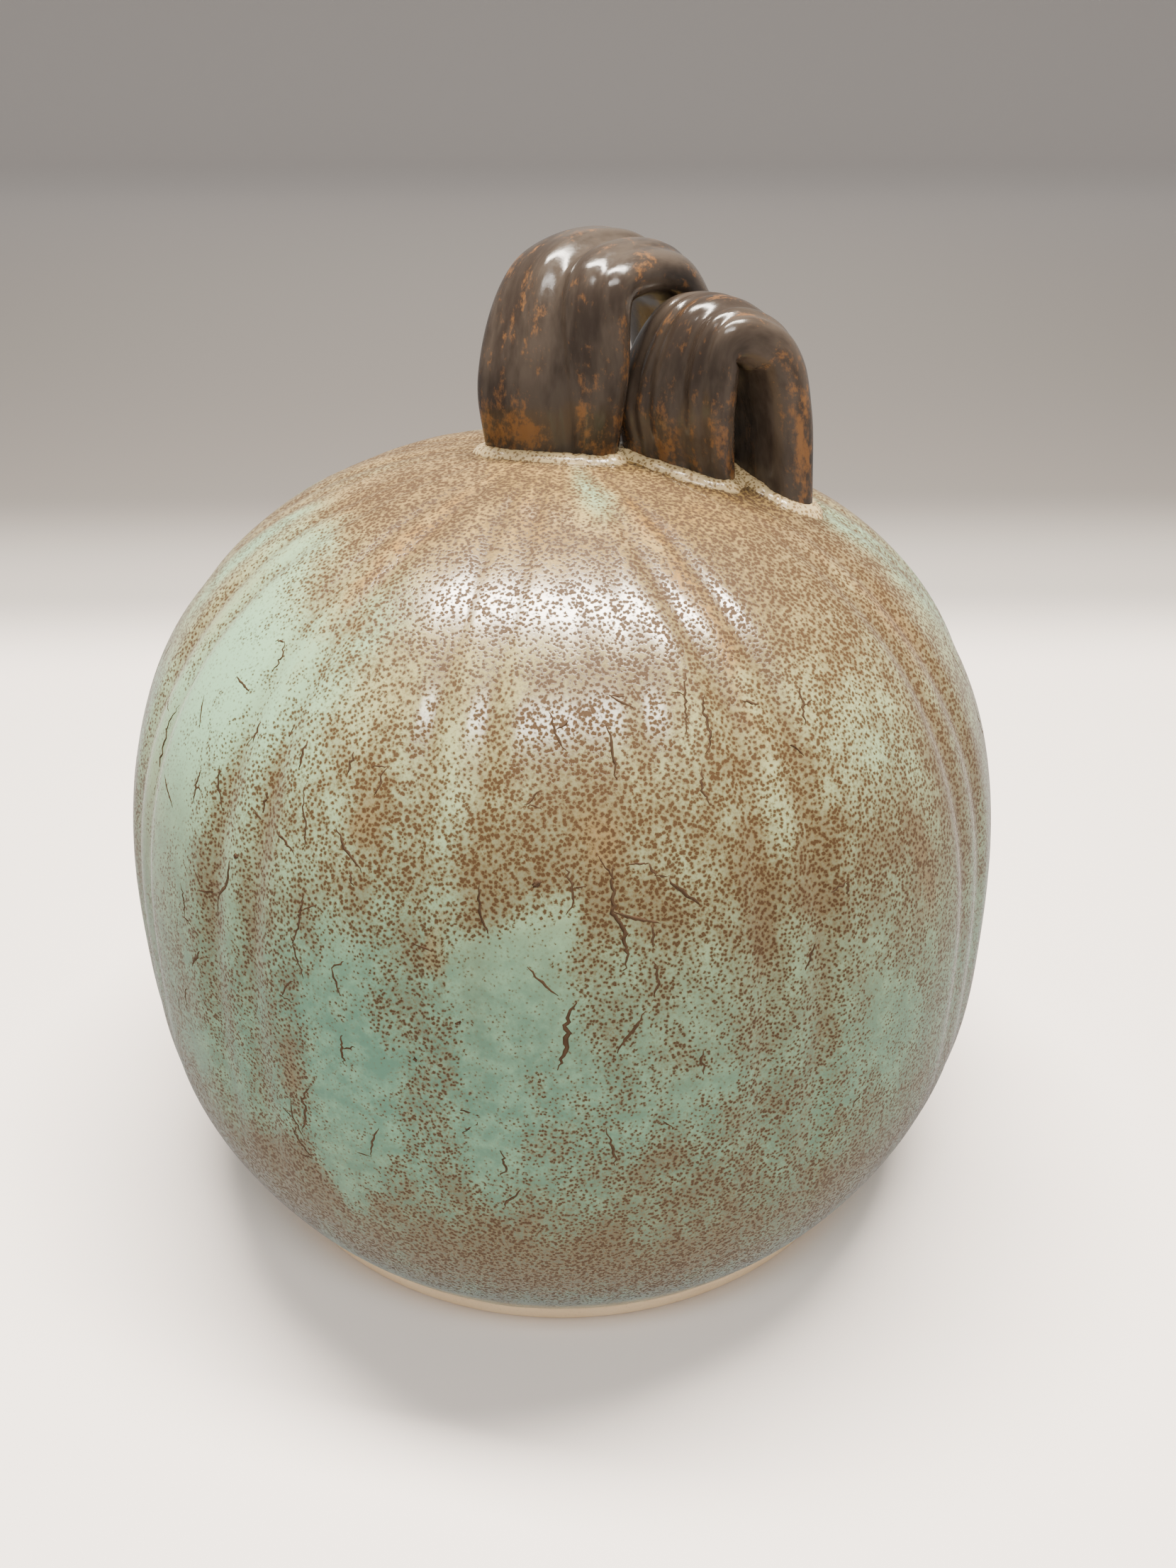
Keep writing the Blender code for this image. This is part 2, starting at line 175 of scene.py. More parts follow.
def bumps_at(points, size, seed):
    """Smooth noise from -1 to 1 at each point, for features of about that size in mm."""
    shift = Vector((seed * 17.3, seed * -9.1, seed * 5.7))
    return np.array([noise.noise(Vector(p) / size + shift) for p in points])


def within_one(values):
    """Values kept between 0 and 1."""
    return np.clip(values, 0.0, 1.0)


def mesh_object(name, points, faces, material):
    """A smooth-shaded object from points in mm."""
    mesh = bpy.data.meshes.new(name)
    mesh.from_pydata((np.asarray(points) * MM).tolist(), [], faces)
    mesh.validate()
    mesh.update()
    mesh.shade_smooth()
    mesh.materials.append(material)
    piece = bpy.data.objects.new(name, mesh)
    bpy.context.scene.collection.objects.link(piece)
    return piece


def grid_faces(rows, columns, flip=False):
    """Quads joining rows of a closed grid whose columns wrap round."""
    faces = []
    for row in range(rows - 1):
        for i in range(columns):
            j = (i + 1) % columns
            quad = (row * columns + i, row * columns + j,
                    (row + 1) * columns + j, (row + 1) * columns + i)
            faces.append(quad[::-1] if flip else quad)
    return faces


def fan_faces(start, columns, tip, flip=False):
    """Triangles from a ring of points to a tip."""
    faces = []
    for i in range(columns):
        face = (start + i, start + (i + 1) % columns, tip)
        faces.append(face[::-1] if flip else face)
    return faces


def add_values(piece, name, values):
    """Stores one number per vertex for the materials."""
    layer = piece.data.attributes.new(name, "FLOAT", "POINT")
    layer.data.foreach_set("value", np.asarray(values, dtype=np.float32))


def add_vectors(piece, name, values):
    """Stores one vector per vertex for the materials."""
    layer = piece.data.attributes.new(name, "FLOAT_VECTOR", "POINT")
    layer.data.foreach_set("vector", np.asarray(values, dtype=np.float32).ravel())


# ------------------------------------------------------------------ body outline

def turned_outline():
    """Radius, height and run of the glazed outline, closely spaced from foot to pole."""
    heights = np.linspace(FOOT_BAND, BELLY_HEIGHT, LOWER_STEPS, endpoint=False)
    flare = ((BELLY_HEIGHT - heights) / (BELLY_HEIGHT - FOOT_BAND)) ** LOWER_POWER
    lower = np.stack([BELLY_RADIUS - (BELLY_RADIUS - BAND_RADIUS) * flare, heights], 1)
    turn = np.linspace(0.0, 0.5 * math.pi, DOME_STEPS)
    radius = BELLY_RADIUS * np.abs(np.cos(turn)) ** (2.0 / DOME_RADIAL_POWER)
    rise = np.sin(turn) ** (2.0 / DOME_UPRIGHT_POWER)
    upper = np.stack([radius, BELLY_HEIGHT + (BODY_HEIGHT - BELLY_HEIGHT) * rise], 1)
    points = np.concatenate([[[FOOT_RADIUS, 0.0]], lower, upper])
    steps = np.hypot(*np.diff(points, axis=0).T)
    return points[:, 0], points[:, 1], np.concatenate([[0.0], np.cumsum(steps)])


OUTLINE_RADIUS, OUTLINE_HEIGHT, OUTLINE_RUN = turned_outline()
POLE_RUN = OUTLINE_RUN[-1]
NORMAL_STEP = 0.6


def outline_at(run):
    """Radius, height and outward normal of the outline at a run."""
    radius = np.interp(run, OUTLINE_RUN, OUTLINE_RADIUS)
    height = np.interp(run, OUTLINE_RUN, OUTLINE_HEIGHT)
    ends = (np.minimum(run + NORMAL_STEP, POLE_RUN), np.maximum(run - NORMAL_STEP, 0.0))
    across = np.subtract(*[np.interp(end, OUTLINE_RUN, OUTLINE_RADIUS) for end in ends])
    up = np.subtract(*[np.interp(end, OUTLINE_RUN, OUTLINE_HEIGHT) for end in ends])
    length = np.hypot(across, up)
    return radius, height, up / length, -across / length


def run_at_height(height):
    """The run below which the outline stays under a height."""
    return float(np.interp(height, OUTLINE_HEIGHT, OUTLINE_RUN))


def dome_height(x, y):
    """Height of the glazed dome over a point of the plan, ribs left out."""
    radial = min(math.hypot(x, y) / BELLY_RADIUS, 1.0) ** DOME_RADIAL_POWER
    return BELLY_HEIGHT + (BODY_HEIGHT - BELLY_HEIGHT) * (1.0 - radial) ** (1.0 / DOME_UPRIGHT_POWER)


def groove_field(azimuth, run):
    """How deep a point lies in a rib's two grooves, and how near it is to a rib's ridge."""
    groove = np.zeros_like(azimuth)
    ridge = np.zeros_like(azimuth)
    swing = smoothstep(SWING_START, SWING_END, run)
    for centre, strength, swung in RIBS:
        away = np.abs(wrapped(azimuth - centre - swung * swing))
        offset = GROOVE_OFFSET + SWUNG_OFFSET * swing
        spread = GROOVE_SPREAD + SWUNG_SPREAD * swing
        groove += strength * np.exp(-((away - offset) / spread) ** 2)
        ridge += strength * np.exp(-(away / RIDGE_SPREAD) ** 2)
    return groove, ridge


def surface_points(azimuth, run, inset=0.0):
    """Points of the body's glazed surface, ribs and the maker's unevenness included."""
    radius, height, normal_r, normal_z = outline_at(run)
    groove, ridge = groove_field(azimuth, run)
    off_pole = smoothstep(0.0, RIB_FADE_RADIUS, radius)
    shows = smoothstep(RIB_START, RIB_FULL, run) * off_pole
    shows = shows * (1.0 - CROWN_SHALLOW * smoothstep(CROWN_START, CROWN_END, run))
    relief = shows * (LOBE_SWELL - (GROOVE_DEPTH + LOBE_SWELL) * groove - RIDGE_SINK * ridge)
    angle = np.radians(azimuth)
    uneven = sum(height_mm * np.sin(waves * angle + run * twist + phase)
                 for height_mm, waves, twist, phase in UNEVEN_WAVES)
    relief += uneven * smoothstep(UNEVEN_START, UNEVEN_FULL, run) * off_pole
    relief -= inset
    r = radius + normal_r * relief
    return np.stack([r * np.sin(angle), -r * np.cos(angle), height + normal_z * relief], -1)


# ------------------------------------------------------------------ where the glaze breaks brown

# Soft patches on the glaze: azimuth, run, half width in degrees, half height in mm, amount.
# The first table is where the glaze turns brown (or, below zero, stays clear).
BROWN_PATCHES = (
    (-6, 78, 5.0, 11, -0.75), (-3, 88, 3.5, 7, -0.50), (-24, 66, 4.5, 18, -0.55),
    (-24, 44, 3.5, 10, -0.55), (-7, 57, 5.0, 9, -0.45), (12, 64, 4.5, 6, -0.30),
    (38, 64, 7.0, 11, -0.25), (-44, 52, 8.0, 8, -0.25), (-56, 106, 10.0, 18, -0.60),
    (-60, 84, 10.0, 18, -0.30), (-46, 118, 7.0, 9, -0.40), (-35, 112, 5.0, 12, -0.30),
    (-62, 128, 10.0, 8, -0.35), (40, 107, 7.0, 7, -0.25), (60, 62, 8.0, 22, -0.20),
    (12, 160, 9.0, 9, -0.40), (2, 100, 7.0, 9, 0.45), (10, 93, 8.0, 6, 0.25),
    (22, 91, 2.5, 8, 0.35), (28, 92, 2.6, 6, 0.60), (41, 89, 7.0, 8, 0.25),
    (-12, 92, 3.5, 6, 0.25), (-22, 101, 4.0, 7, 0.30), (-37, 98, 3.0, 12, 0.25),
    (-44, 92, 2.0, 18, 0.25), (-35, 40, 7.0, 9, 0.45), (-8, 35, 4.0, 8, 0.35),
    (3, 31, 9.0, 8, 0.35), (-10, 26, 6.0, 7, 0.30), (15, 27, 6.0, 6, 0.25),
    (10, 53, 5.0, 4, 0.25), (-32, 61, 3.0, 7, 0.40), (21, 55, 10.0, 8, 0.15),
    (-66, 152, 12.0, 9, 0.60), (-46, 152, 7.0, 7, 0.25), (-30, 153, 3.0, 12, 0.35),
    (-22, 162, 9.0, 4, 0.30), (36, 156, 9.0, 6, 0.65), (30, 147, 5.0, 7, 0.45),
    (48, 150, 8.0, 4, 0.40), (65, 120, 3.5, 20, 0.50), (55, 120, 2.0, 24, 0.40),
    (12, 124, 12.0, 7, 0.15), (-20, 150, 12.0, 12, 0.10), (45, 130, 8.0, 10, 0.15),
    (30, 110, 18.0, 24, 0.24), (0, 106, 9.0, 12, 0.30), (-26, 96, 14.0, 9, 0.08),
    (55, 84, 15.0, 46, 0.20), (66, 146, 12.0, 12, 0.40), (58, 96, 10.0, 26, 0.22),
    (-14, 100, 8.0, 9, 0.08), (34, 136, 12.0, 8, 0.25), (8, 143, 10.0, 7, 0.15),
    (-40, 30, 16.0, 10, 0.20), (22, 158, 9.0, 6, 0.35), (4, 120, 9.0, 5, 0.30),
    (48, 136, 10.0, 12, 0.40), (-14, 152, 7.0, 8, 0.20), (-2, 98, 6.0, 8, 0.25),
    (76, 155, 15.0, 17, 0.60),
)
# Where the clear glaze is pale mint or teal rather than cream.
MINT_PATCHES = (
    (-56, 112, 14.0, 26, 1.0), (-38, 116, 10.0, 16, 0.6), (-66, 135, 14.0, 8, 0.4),
    (-20, 70, 30.0, 34, 0.9), (12, 161, 9.0, 10, 0.7), (30, 60, 22.0, 30, 0.25),
    (42, 105, 9.0, 12, 0.4), (-20, 18, 60.0, 10, 0.6), (-30, 128, 8.0, 8, 0.4),
)
# Where the glaze breaks to rust-tan.
RUST_PATCHES = (
    (-36, 143, 5.0, 22, 0.55), (24, 150, 4.0, 12, 0.75), (25, 128, 2.5, 16, 0.45),
    (40, 147, 12.0, 6, 0.45), (-13, 88, 2.5, 8, 0.45), (-22, 100, 3.0, 6, 0.35),
    (46, 84, 5.0, 12, 0.35), (62, 118, 6.0, 16, 0.45), (-55, 142, 12.0, 8, 0.35),
    (-8, 152, 7.0, 8, 0.35), (3, 101, 6.0, 7, 0.30), (-33, 60, 2.5, 6, 0.35),
)
PATCH_FALL = 1.1
# Beyond this azimuth on either side the patches and cracks are strewn by chance
SEEN_SIDE = 72.0
BACK_PATCHES = 70
BACK_RUNS = (20.0, 160.0)
BACK_HALF_WIDTHS = (3.0, 9.0)
BACK_HALF_HEIGHTS = (6.0, 18.0)
# Seed and least and most amount of the strewn patches
BACK_BROWN = (11, (-0.55, 0.5))
BACK_MINT = (12, (0.0, 0.9))
BACK_RUST = (13, (0.0, 0.25))


def patch_sum(azimuth, run, patches):
    """The soft patches' amounts added up at each point."""
    total = np.zeros_like(azimuth)
    for centre, height, half_width, half_height, amount in patches:
        across = wrapped(azimuth - centre) / half_width
        up = (run - height) / half_height
        total += amount * np.exp(-PATCH_FALL * (across ** 2 + up ** 2))
    return total


def back_patches(seed, amounts):
    """Soft patches of the same kind for the sides and back."""
    chance = random.Random(seed)
    patches = []
    for _ in range(BACK_PATCHES):
        patches.append((chance.uniform(SEEN_SIDE, 360.0 - SEEN_SIDE), chance.uniform(*BACK_RUNS),
                        chance.uniform(*BACK_HALF_WIDTHS), chance.uniform(*BACK_HALF_HEIGHTS),
                        chance.uniform(*amounts)))
    return tuple(patches)


# How brown and how cream the glaze is at a run
BROWN_BY_RUN = ((0.0, 0.05), (8.0, 0.10), (16.0, 0.55), (24.0, 0.74), (38.0, 0.66), (52.0, 0.42),
                (78.0, 0.42), (90.0, 0.50), (104.0, 0.54), (114.0, 0.50), (130.0, 0.54),
                (142.0, 0.62), (156.0, 0.70), (168.0, 0.68), (180.0, 0.70))
CREAM_BY_RUN = ((0.0, 0.10), (60.0, 0.10), (85.0, 0.25), (105.0, 0.50), (125.0, 0.75),
                (145.0, 0.95), (180.0, 1.0))

# Wandering of the patches' edges, in degrees and in mm: reach, feature size and seed
AZIMUTH_WARP = ((3.0, 11.0, 1), (1.5, 4.0, 2))
RUN_WARP = ((4.0, 13.0, 3), (2.0, 4.5, 4))
# Streaks are noise drawn out downwards; clouds are round
STREAK_STRETCH = np.array([1.0, 1.0, 0.22])
STREAK_SIZE, STREAK_SEED = 7.0, 5
CLOUD_SIZE, CLOUD_SEED = 9.0, 6
STREAK_BROWN, CLOUD_BROWN, GROOVE_BROWN, RIDGE_BROWN = 0.18, 0.10, 0.12, -0.22
STREAK_RUST, RIDGE_RUST = 0.25, 0.28
# Runs between which ribs start to colour the glaze, and their ridges start to turn rusty
RIB_COLOUR_START, RIB_COLOUR_FULL = 48.0, 101.0
RUSTY_RIDGE_START, RUSTY_RIDGE_FULL = 90.0, 125.0
# Runs between which the painted shade near the foot fades out: the glaze is painted darker low on the
# body, where shade falls
FOOT_SHADE_FULL, FOOT_SHADE_END = 12.0, 75.0


def by_run(run, table):
    """A value that follows a table of (run, value)."""
    return np.interp(run, [row[0] for row in table], [row[1] for row in table])


def wander(points, layers):
    """Layers of smooth noise added up."""
    return sum(reach * bumps_at(points, size, seed) for reach, size, seed in layers)


def glaze_fields(azimuth, run, points):
    """The fields that steer the glaze's material, each from 0 to 1 at every point."""
    a = azimuth + wander(points, AZIMUTH_WARP)
    s = run + wander(points, RUN_WARP)
    streak = bumps_at(points * STREAK_STRETCH, STREAK_SIZE, STREAK_SEED)
    cloud = bumps_at(points, CLOUD_SIZE, CLOUD_SEED)
    groove, ridge = groove_field(azimuth, run)
    shows = smoothstep(RIB_COLOUR_START, RIB_COLOUR_FULL, run)
    brown = by_run(s, BROWN_BY_RUN) + patch_sum(a, s, BROWN_PATCHES)
    brown += patch_sum(a, s, back_patches(*BACK_BROWN))
    brown += STREAK_BROWN * streak + CLOUD_BROWN * cloud
    brown += (GROOVE_BROWN * groove + RIDGE_BROWN * ridge) * shows
    mint = patch_sum(a, s, MINT_PATCHES) + patch_sum(a, s, back_patches(*BACK_MINT))
    rust = patch_sum(a, s, RUST_PATCHES) + patch_sum(a, s, back_patches(*BACK_RUST))
    rust += STREAK_RUST * within_one(streak)
    rust += RIDGE_RUST * ridge * shows * smoothstep(RUSTY_RIDGE_START, RUSTY_RIDGE_FULL, run)
    return {
        "brown": within_one(brown),
        "mint": within_one(mint),
        "rust": within_one(rust),
        "cream": within_one(by_run(s, CREAM_BY_RUN)),
        "groove": within_one(groove * shows),
        # Painted shade: how strongly the glaze is painted darker near the foot
        "low": 1.0 - smoothstep(FOOT_SHADE_FULL, FOOT_SHADE_END, s),
    }


# ------------------------------------------------------------------ body pieces

GLAZE_EDGE_RUN = run_at_height(FOOT_BAND + GAP)
# The wiped edge wanders: height in mm, waves round the body and phase, over these lowest mm
EDGE_WAVES = ((0.35, 7.0, 0.0), (0.21, 17.0, 1.0))
EDGE_SETTLES = 8.0
# The rounded edge, from outside to inside: run past the edge, and depth under the surface
EDGE_ROLL = ((-0.25, 0.2), (-0.3, 0.5))


def make_glaze_skin(material):
    """The glaze coat: a fine outer skin, a coarser inner one, and a rounded lower edge."""
    azimuth = np.arange(SKIN_COLUMNS) * 360.0 / SKIN_COLUMNS
    edge_wave = sum(height * np.sin(np.radians(azimuth) * waves + phase)
                    for height, waves, phase in EDGE_WAVES)
    a = np.tile(azimuth, (SKIN_RINGS, 1))
    ring_runs = GLAZE_EDGE_RUN + (POLE_RUN - GLAZE_EDGE_RUN) * np.arange(SKIN_RINGS) / SKIN_RINGS
    s = np.repeat(ring_runs[:, None], SKIN_COLUMNS, axis=1)
    s += edge_wave * (1.0 - smoothstep(GLAZE_EDGE_RUN, GLAZE_EDGE_RUN + EDGE_SETTLES, s))
    outer = surface_points(a.ravel(), s.ravel())
    roll = [surface_points(azimuth, s[0] + past, depth) for past, depth in EDGE_ROLL]
    inner_runs = GLAZE_EDGE_RUN + (POLE_RUN - GLAZE_EDGE_RUN) * np.arange(INNER_RINGS) / INNER_RINGS
    inner = [surface_points(azimuth, np.full_like(azimuth, run), GLAZE) for run in inner_runs]
    rings = inner[::-1] + roll[::-1]
    inner_pole, outer_pole = (0.0, 0.0, BODY_HEIGHT - GLAZE), (0.0, 0.0, BODY_HEIGHT)
    points = np.concatenate([*rings, outer, [inner_pole, outer_pole]])
    rows = len(rings) + SKIN_RINGS
    faces = grid_faces(rows, SKIN_COLUMNS)
    faces += fan_faces(0, SKIN_COLUMNS, len(points) - 2, flip=True)
    faces += fan_faces((rows - 1) * SKIN_COLUMNS, SKIN_COLUMNS, len(points) - 1)
    piece = mesh_object("glaze_skin", points, faces, material)
    all_azimuths = np.degrees(np.arctan2(points[:, 0], -points[:, 1]))
    hidden = len(rings) * SKIN_COLUMNS
    all_runs = np.concatenate([np.full(hidden, GLAZE_EDGE_RUN), s.ravel(), [POLE_RUN, POLE_RUN]])
    for name, values in glaze_fields(all_azimuths, all_runs, points).items():
        add_values(piece, name, values)
    return piece


# Clay shell: points down its outside, down the foot band, round the foot's edge, over the
# recess and up its inside
OUTER_STEPS, BAND_STEPS, CHAMFER_STEPS, RECESS_STEPS, INSIDE_STEPS = 60, 8, 5, 40, 40
BAND_TOP_ROUND = ((-0.25, 0.0), (-0.03, -0.2))
# The foot ring's inner edge: distance outwards from it, and height
RING_EDGE = ((5.0, 0.0), (0.6, 0.0), (0.0, 0.12), (-0.7, 0.8), (-1.6, 1.7))
RECESS_START = 2.6
# Turning marks: height in mm, and turns of the wave per mm in radians
BAND_MARK, BAND_MARK_RATE = 0.05, 9.0
RECESS_MARK, RECESS_MARK_RATE = 0.07, 2.6
VENT_ROUND = 0.4
LEDGE_RISE = 0.02
INSIDE_CORNER, INSIDE_CORNER_RISE = 2.0, 1.6
LEAST_RADIUS = 0.3


def shell_outline():
    """Half section of the clay shell as (radius, height) points: from the pole down the
    outside, round the foot ring, up the vent, and up the inside to the inner pole."""
    inset = GLAZE + GAP
    points = []
    for run in np.linspace(POLE_RUN, run_at_height(FOOT_BAND), OUTER_STEPS)[1:]:
        r, z, nr, nz = outline_at(run)
        points.append((r - nr * (inset + GROOVE_DEPTH), z - nz * (inset + GROOVE_DEPTH)))
    ledge = BAND_RADIUS - inset
    points[-1] = (ledge - GROOVE_DEPTH, FOOT_BAND + LEDGE_RISE)
    points.append((ledge, FOOT_BAND))
    points += [(BAND_RADIUS + out, FOOT_BAND + up) for out, up in BAND_TOP_ROUND]
    band_top = points[-1][1]
    for i in range(1, BAND_STEPS + 1):
        share = i / BAND_STEPS
        z = band_top + (FOOT_CHAMFER - band_top) * share
        mark = BAND_MARK * math.sin(z * BAND_MARK_RATE)
        points.append((BAND_RADIUS + (FOOT_RADIUS - BAND_RADIUS) * share + mark, z))
    for i in range(1, CHAMFER_STEPS + 1):
        turn = 0.5 * math.pi * i / CHAMFER_STEPS
        points.append((FOOT_RADIUS - FOOT_CHAMFER * (1.0 - math.cos(turn)),
                       FOOT_CHAMFER * (1.0 - math.sin(turn))))
    ring_inner = FOOT_RADIUS - FOOT_RING_WIDTH
    points += [(ring_inner + out, up) for out, up in RING_EDGE]
    recess_outer, recess_inner = ring_inner - RECESS_START, VENT_RADIUS + 2.0 * VENT_ROUND
    points.append((recess_outer, FOOT_RECESS))
    for i in range(1, RECESS_STEPS):
        r = recess_outer + (recess_inner - recess_outer) * i / RECESS_STEPS
        points.append((r, FOOT_RECESS + RECESS_MARK * math.sin(r * RECESS_MARK_RATE)))
    points += [(VENT_RADIUS + VENT_ROUND, FOOT_RECESS + 0.25 * VENT_ROUND),
               (VENT_RADIUS, FOOT_RECESS + 1.25 * VENT_ROUND),
               (VENT_RADIUS, FLOOR - VENT_ROUND), (VENT_RADIUS + VENT_ROUND, FLOOR)]
    corner = float(outline_at(run_at_height(FLOOR))[0]) - WALL - GLAZE
    points += [(corner - WALL, FLOOR), (corner - INSIDE_CORNER, FLOOR + INSIDE_CORNER_RISE)]
    thick = WALL + GLAZE + GROOVE_DEPTH
    for run in np.linspace(run_at_height(FLOOR + WALL), POLE_RUN, INSIDE_STEPS)[:-1]:
        r, z, nr, nz = outline_at(run)
        points.append((max(float(r - nr * thick), LEAST_RADIUS), float(z - nz * thick)))
    return points


def make_clay_shell(material):
    """The stoneware body under the glaze, with its bare foot ring and turned underside."""
    outline = shell_outline()
    turn = np.arange(SHELL_COLUMNS) * math.tau / SHELL_COLUMNS
    rows = [np.stack([r * np.sin(turn), -r * np.cos(turn), np.full_like(turn, z)], 1)
            for r, z in outline]
    top = BODY_HEIGHT - GLAZE - GAP - GROOVE_DEPTH
    under = BODY_HEIGHT - WALL - GLAZE - GROOVE_DEPTH
    points = np.concatenate([*rows, [[0.0, 0.0, top]], [[0.0, 0.0, under]]])
    faces = grid_faces(len(rows), SHELL_COLUMNS, flip=True)
    faces += fan_faces(0, SHELL_COLUMNS, len(points) - 2)
    faces += fan_faces((len(rows) - 1) * SHELL_COLUMNS, SHELL_COLUMNS, len(points) - 1, flip=True)
    return mesh_object("clay_shell", points, faces, material)


# ------------------------------------------------------------------ stem pieces

def blend_points(points, position):
    """A smooth Catmull-Rom curve through the points; position runs from 0 to their count - 1."""
    last = len(points) - 1
    i = min(int(position), last - 1)
    t = position - i
    before = points[i - 1] if i > 0 else points[0] * 2.0 - points[1]
    after = points[i + 2] if i + 2 <= last else points[last] * 2.0 - points[last - 1]
    start, end = points[i], points[i + 1]
    return 0.5 * (
        2.0 * start
        + (end - before) * t
        + (2.0 * before - 5.0 * start + 4.0 * end - after) * t * t
        + (3.0 * start - before - 3.0 * end + after) * t * t * t
    )


def strap_path(loop):
    """The loop's path: heights are added to the ground between its feet."""
    points = [Vector(station[0]) for station in loop]
    first = dome_height(points[0].x, points[0].y)
    last = dome_height(points[-1].x, points[-1].y)
    for i, point in enumerate(points):
        share = i / (len(points) - 1)
        point.z = first * (1.0 - share) + last * share + max(point.z, STRAP_RISE)
    return points


def strap_station(loop, share):
    """The strap at a share of its path: centre, side and outward directions, and size."""
    points = strap_path(loop)
    end = len(points) - 1
    position = share * end
    ahead = blend_points(points, min(position + PATH_STEP, end))
    behind = blend_points(points, max(position - PATH_STEP, 0.0))
    tangent = (ahead - behind).normalized()
    turns = [Vector((math.radians(facing), math.radians(tilt))) for _, facing, tilt, _, _ in loop]
    facing, tilt = blend_points(turns, position)
    side = Vector((math.cos(facing) * math.cos(tilt), math.sin(facing) * math.cos(tilt),
                   math.sin(tilt)))
    side = (side - tangent * side.dot(tangent)).normalized()
    sizes = [Vector((width, thickness)) for _, _, _, width, thickness in loop]
    width, thickness = blend_points(sizes, position)
    return blend_points(points, position), side, side.cross(tangent), width, thickness


def soft_oval(sides):
    """Points of an oval with soft corners that fills the square from -1 to 1."""
    points = []
    for i in range(sides):
        angle = math.tau * i / sides
        c, s = math.cos(angle), math.sin(angle)
        points.append((math.copysign(abs(c) ** (2.0 / SECTION_POWER), c),
                       math.copysign(abs(s) ** (2.0 / SECTION_POWER), s)))
    return points


def flute_press(flutes, across, share, seed):
    """How far the strap's outer face is pressed in at a place across and along it."""
    press = 0.0
    for front, top, back, depth, width in flutes:
        stops = [Vector((front, 0.0)), Vector((top, 0.0)), Vector((back, 0.0))]
        place = blend_points(stops, 2.0 * share)[0]
        press += depth * math.exp(-((across - place) / width) ** 2)
    for depth, marks_across, marks_along, shift in PULL_MARKS:
        place = Vector((across * marks_across, share * marks_along, seed + shift))
        press += depth * noise.noise(place)
    return press * (1.0 - abs(across) ** FLUTE_EDGE_POWER)


def make_strap(name, loop, flutes, seed, material):
    """A pulled clay strap swept along its loop, with its flutes, pull marks and soft dents."""
    oval = soft_oval(STRAP_SIDES)
    points, places, ridges = [], [], []
    centre_before = None
    travelled = 0.0
    for station in range(STRAP_STATIONS + 1):
        share = station / STRAP_STATIONS
        centre, side, outward, width, thickness = strap_station(loop, share)
        travelled += (centre - centre_before).length if centre_before else 0.0
        centre_before = centre
        foot = 1.0 - float(smoothstep(0.0, FOOT_BLEND, min(share, 1.0 - share)))
        ground = dome_height(centre.x, centre.y)
        for across, out in oval:
            press = flute_press(flutes, across, share, seed) * max(out, 0.0) ** FLUTE_ROUND
            dent = DENT * noise.noise(Vector((across * DENTS_ACROSS, share * DENTS_ALONG,
                                              seed + DENT_SHIFT)))
            point = (centre + side * (0.5 * width * across)
                     + outward * ((0.5 * thickness + dent) * out - press))
            level = centre.z + dome_height(point.x, point.y) - ground
            point.z = point.z * (1.0 - foot) + level * foot
            points.append(point[:])
            places.append((0.5 * width * across * MM, travelled * MM, out * FACE_SHIFT + seed))
            ridges.append(max(0.0, 1.0 - press) * max(out, 0.0) ** 2 + abs(across) ** EDGE_SHOWS_POWER)
    rows = STRAP_STATIONS + 1
    first = np.mean(points[:STRAP_SIDES], axis=0)
    last = np.mean(points[-STRAP_SIDES:], axis=0)
    faces = grid_faces(rows, STRAP_SIDES)
    faces += fan_faces(0, STRAP_SIDES, len(points), flip=True)
    faces += fan_faces((rows - 1) * STRAP_SIDES, STRAP_SIDES, len(points) + 1)
    share_along = [i // STRAP_SIDES / STRAP_STATIONS for i in range(len(points))]
    piece = mesh_object(name, points + [tuple(first), tuple(last)], faces, material)
    add_vectors(piece, "strap_place", places + [(0.0, 0.0, seed), (0.0, travelled * MM, seed)])
    add_values(piece, "ridge", ridges + [0.0, 0.0])
    add_values(piece, "along", share_along + [0.0, 1.0])
    return piece


# Cross-section of a slip bead: reach past the strap and height over the dome, in mm
BEAD_SECTION = ((-0.8, -0.7), (1.8, -0.5), (2.1, -0.15), (1.8, 0.25), (1.3, 0.70),
                (0.65, 1.0), (-0.1, 1.0), (-0.9, 0.7))
# Uneven squeezing: share of the section, and how many lumps
BEAD_SWELLS = ((0.30, 2.6), (0.12, 9.0))
BEAD_TIP = 0.7


def make_bead(name, loop, share, seed, material):
    """The bead of slip that is squeezed out round one end of a strap."""
    centre, side, _, width, thickness = strap_station(loop, share)
    along = Vector((side.x, side.y)).normalized()
    outwards = Vector((along.y, -along.x))
    rings = []
    for reach, rise in BEAD_SECTION:
        ring = []
        for i, (across, out) in enumerate(soft_oval(BEAD_SIDES)):
            angle = math.tau * i / BEAD_SIDES
            c, s = math.cos(angle), math.sin(angle)
            swell = 1.0 + sum(strength * noise.noise(Vector((c * lumps, s * lumps, seed)))
                              for strength, lumps in BEAD_SWELLS)
            plan = (centre.xy + along * (0.5 * width * across + reach * swell * c)
                    + outwards * (0.5 * thickness * out + reach * swell * s))
            ring.append((plan.x, plan.y, dome_height(plan.x, plan.y) + rise * swell))
        rings.append(ring)
    points = [point for ring in rings for point in ring]
    low = (centre.x, centre.y, dome_height(centre.x, centre.y) - BEAD_TIP)
    high = (centre.x, centre.y, dome_height(centre.x, centre.y) + BEAD_TIP)
    faces = grid_faces(len(rings), BEAD_SIDES)
    faces += fan_faces(0, BEAD_SIDES, len(points), flip=True)
    faces += fan_faces((len(rings) - 1) * BEAD_SIDES, BEAD_SIDES, len(points) + 1)
    return mesh_object(name, points + [low, high], faces, material)


# ------------------------------------------------------------------ crackle

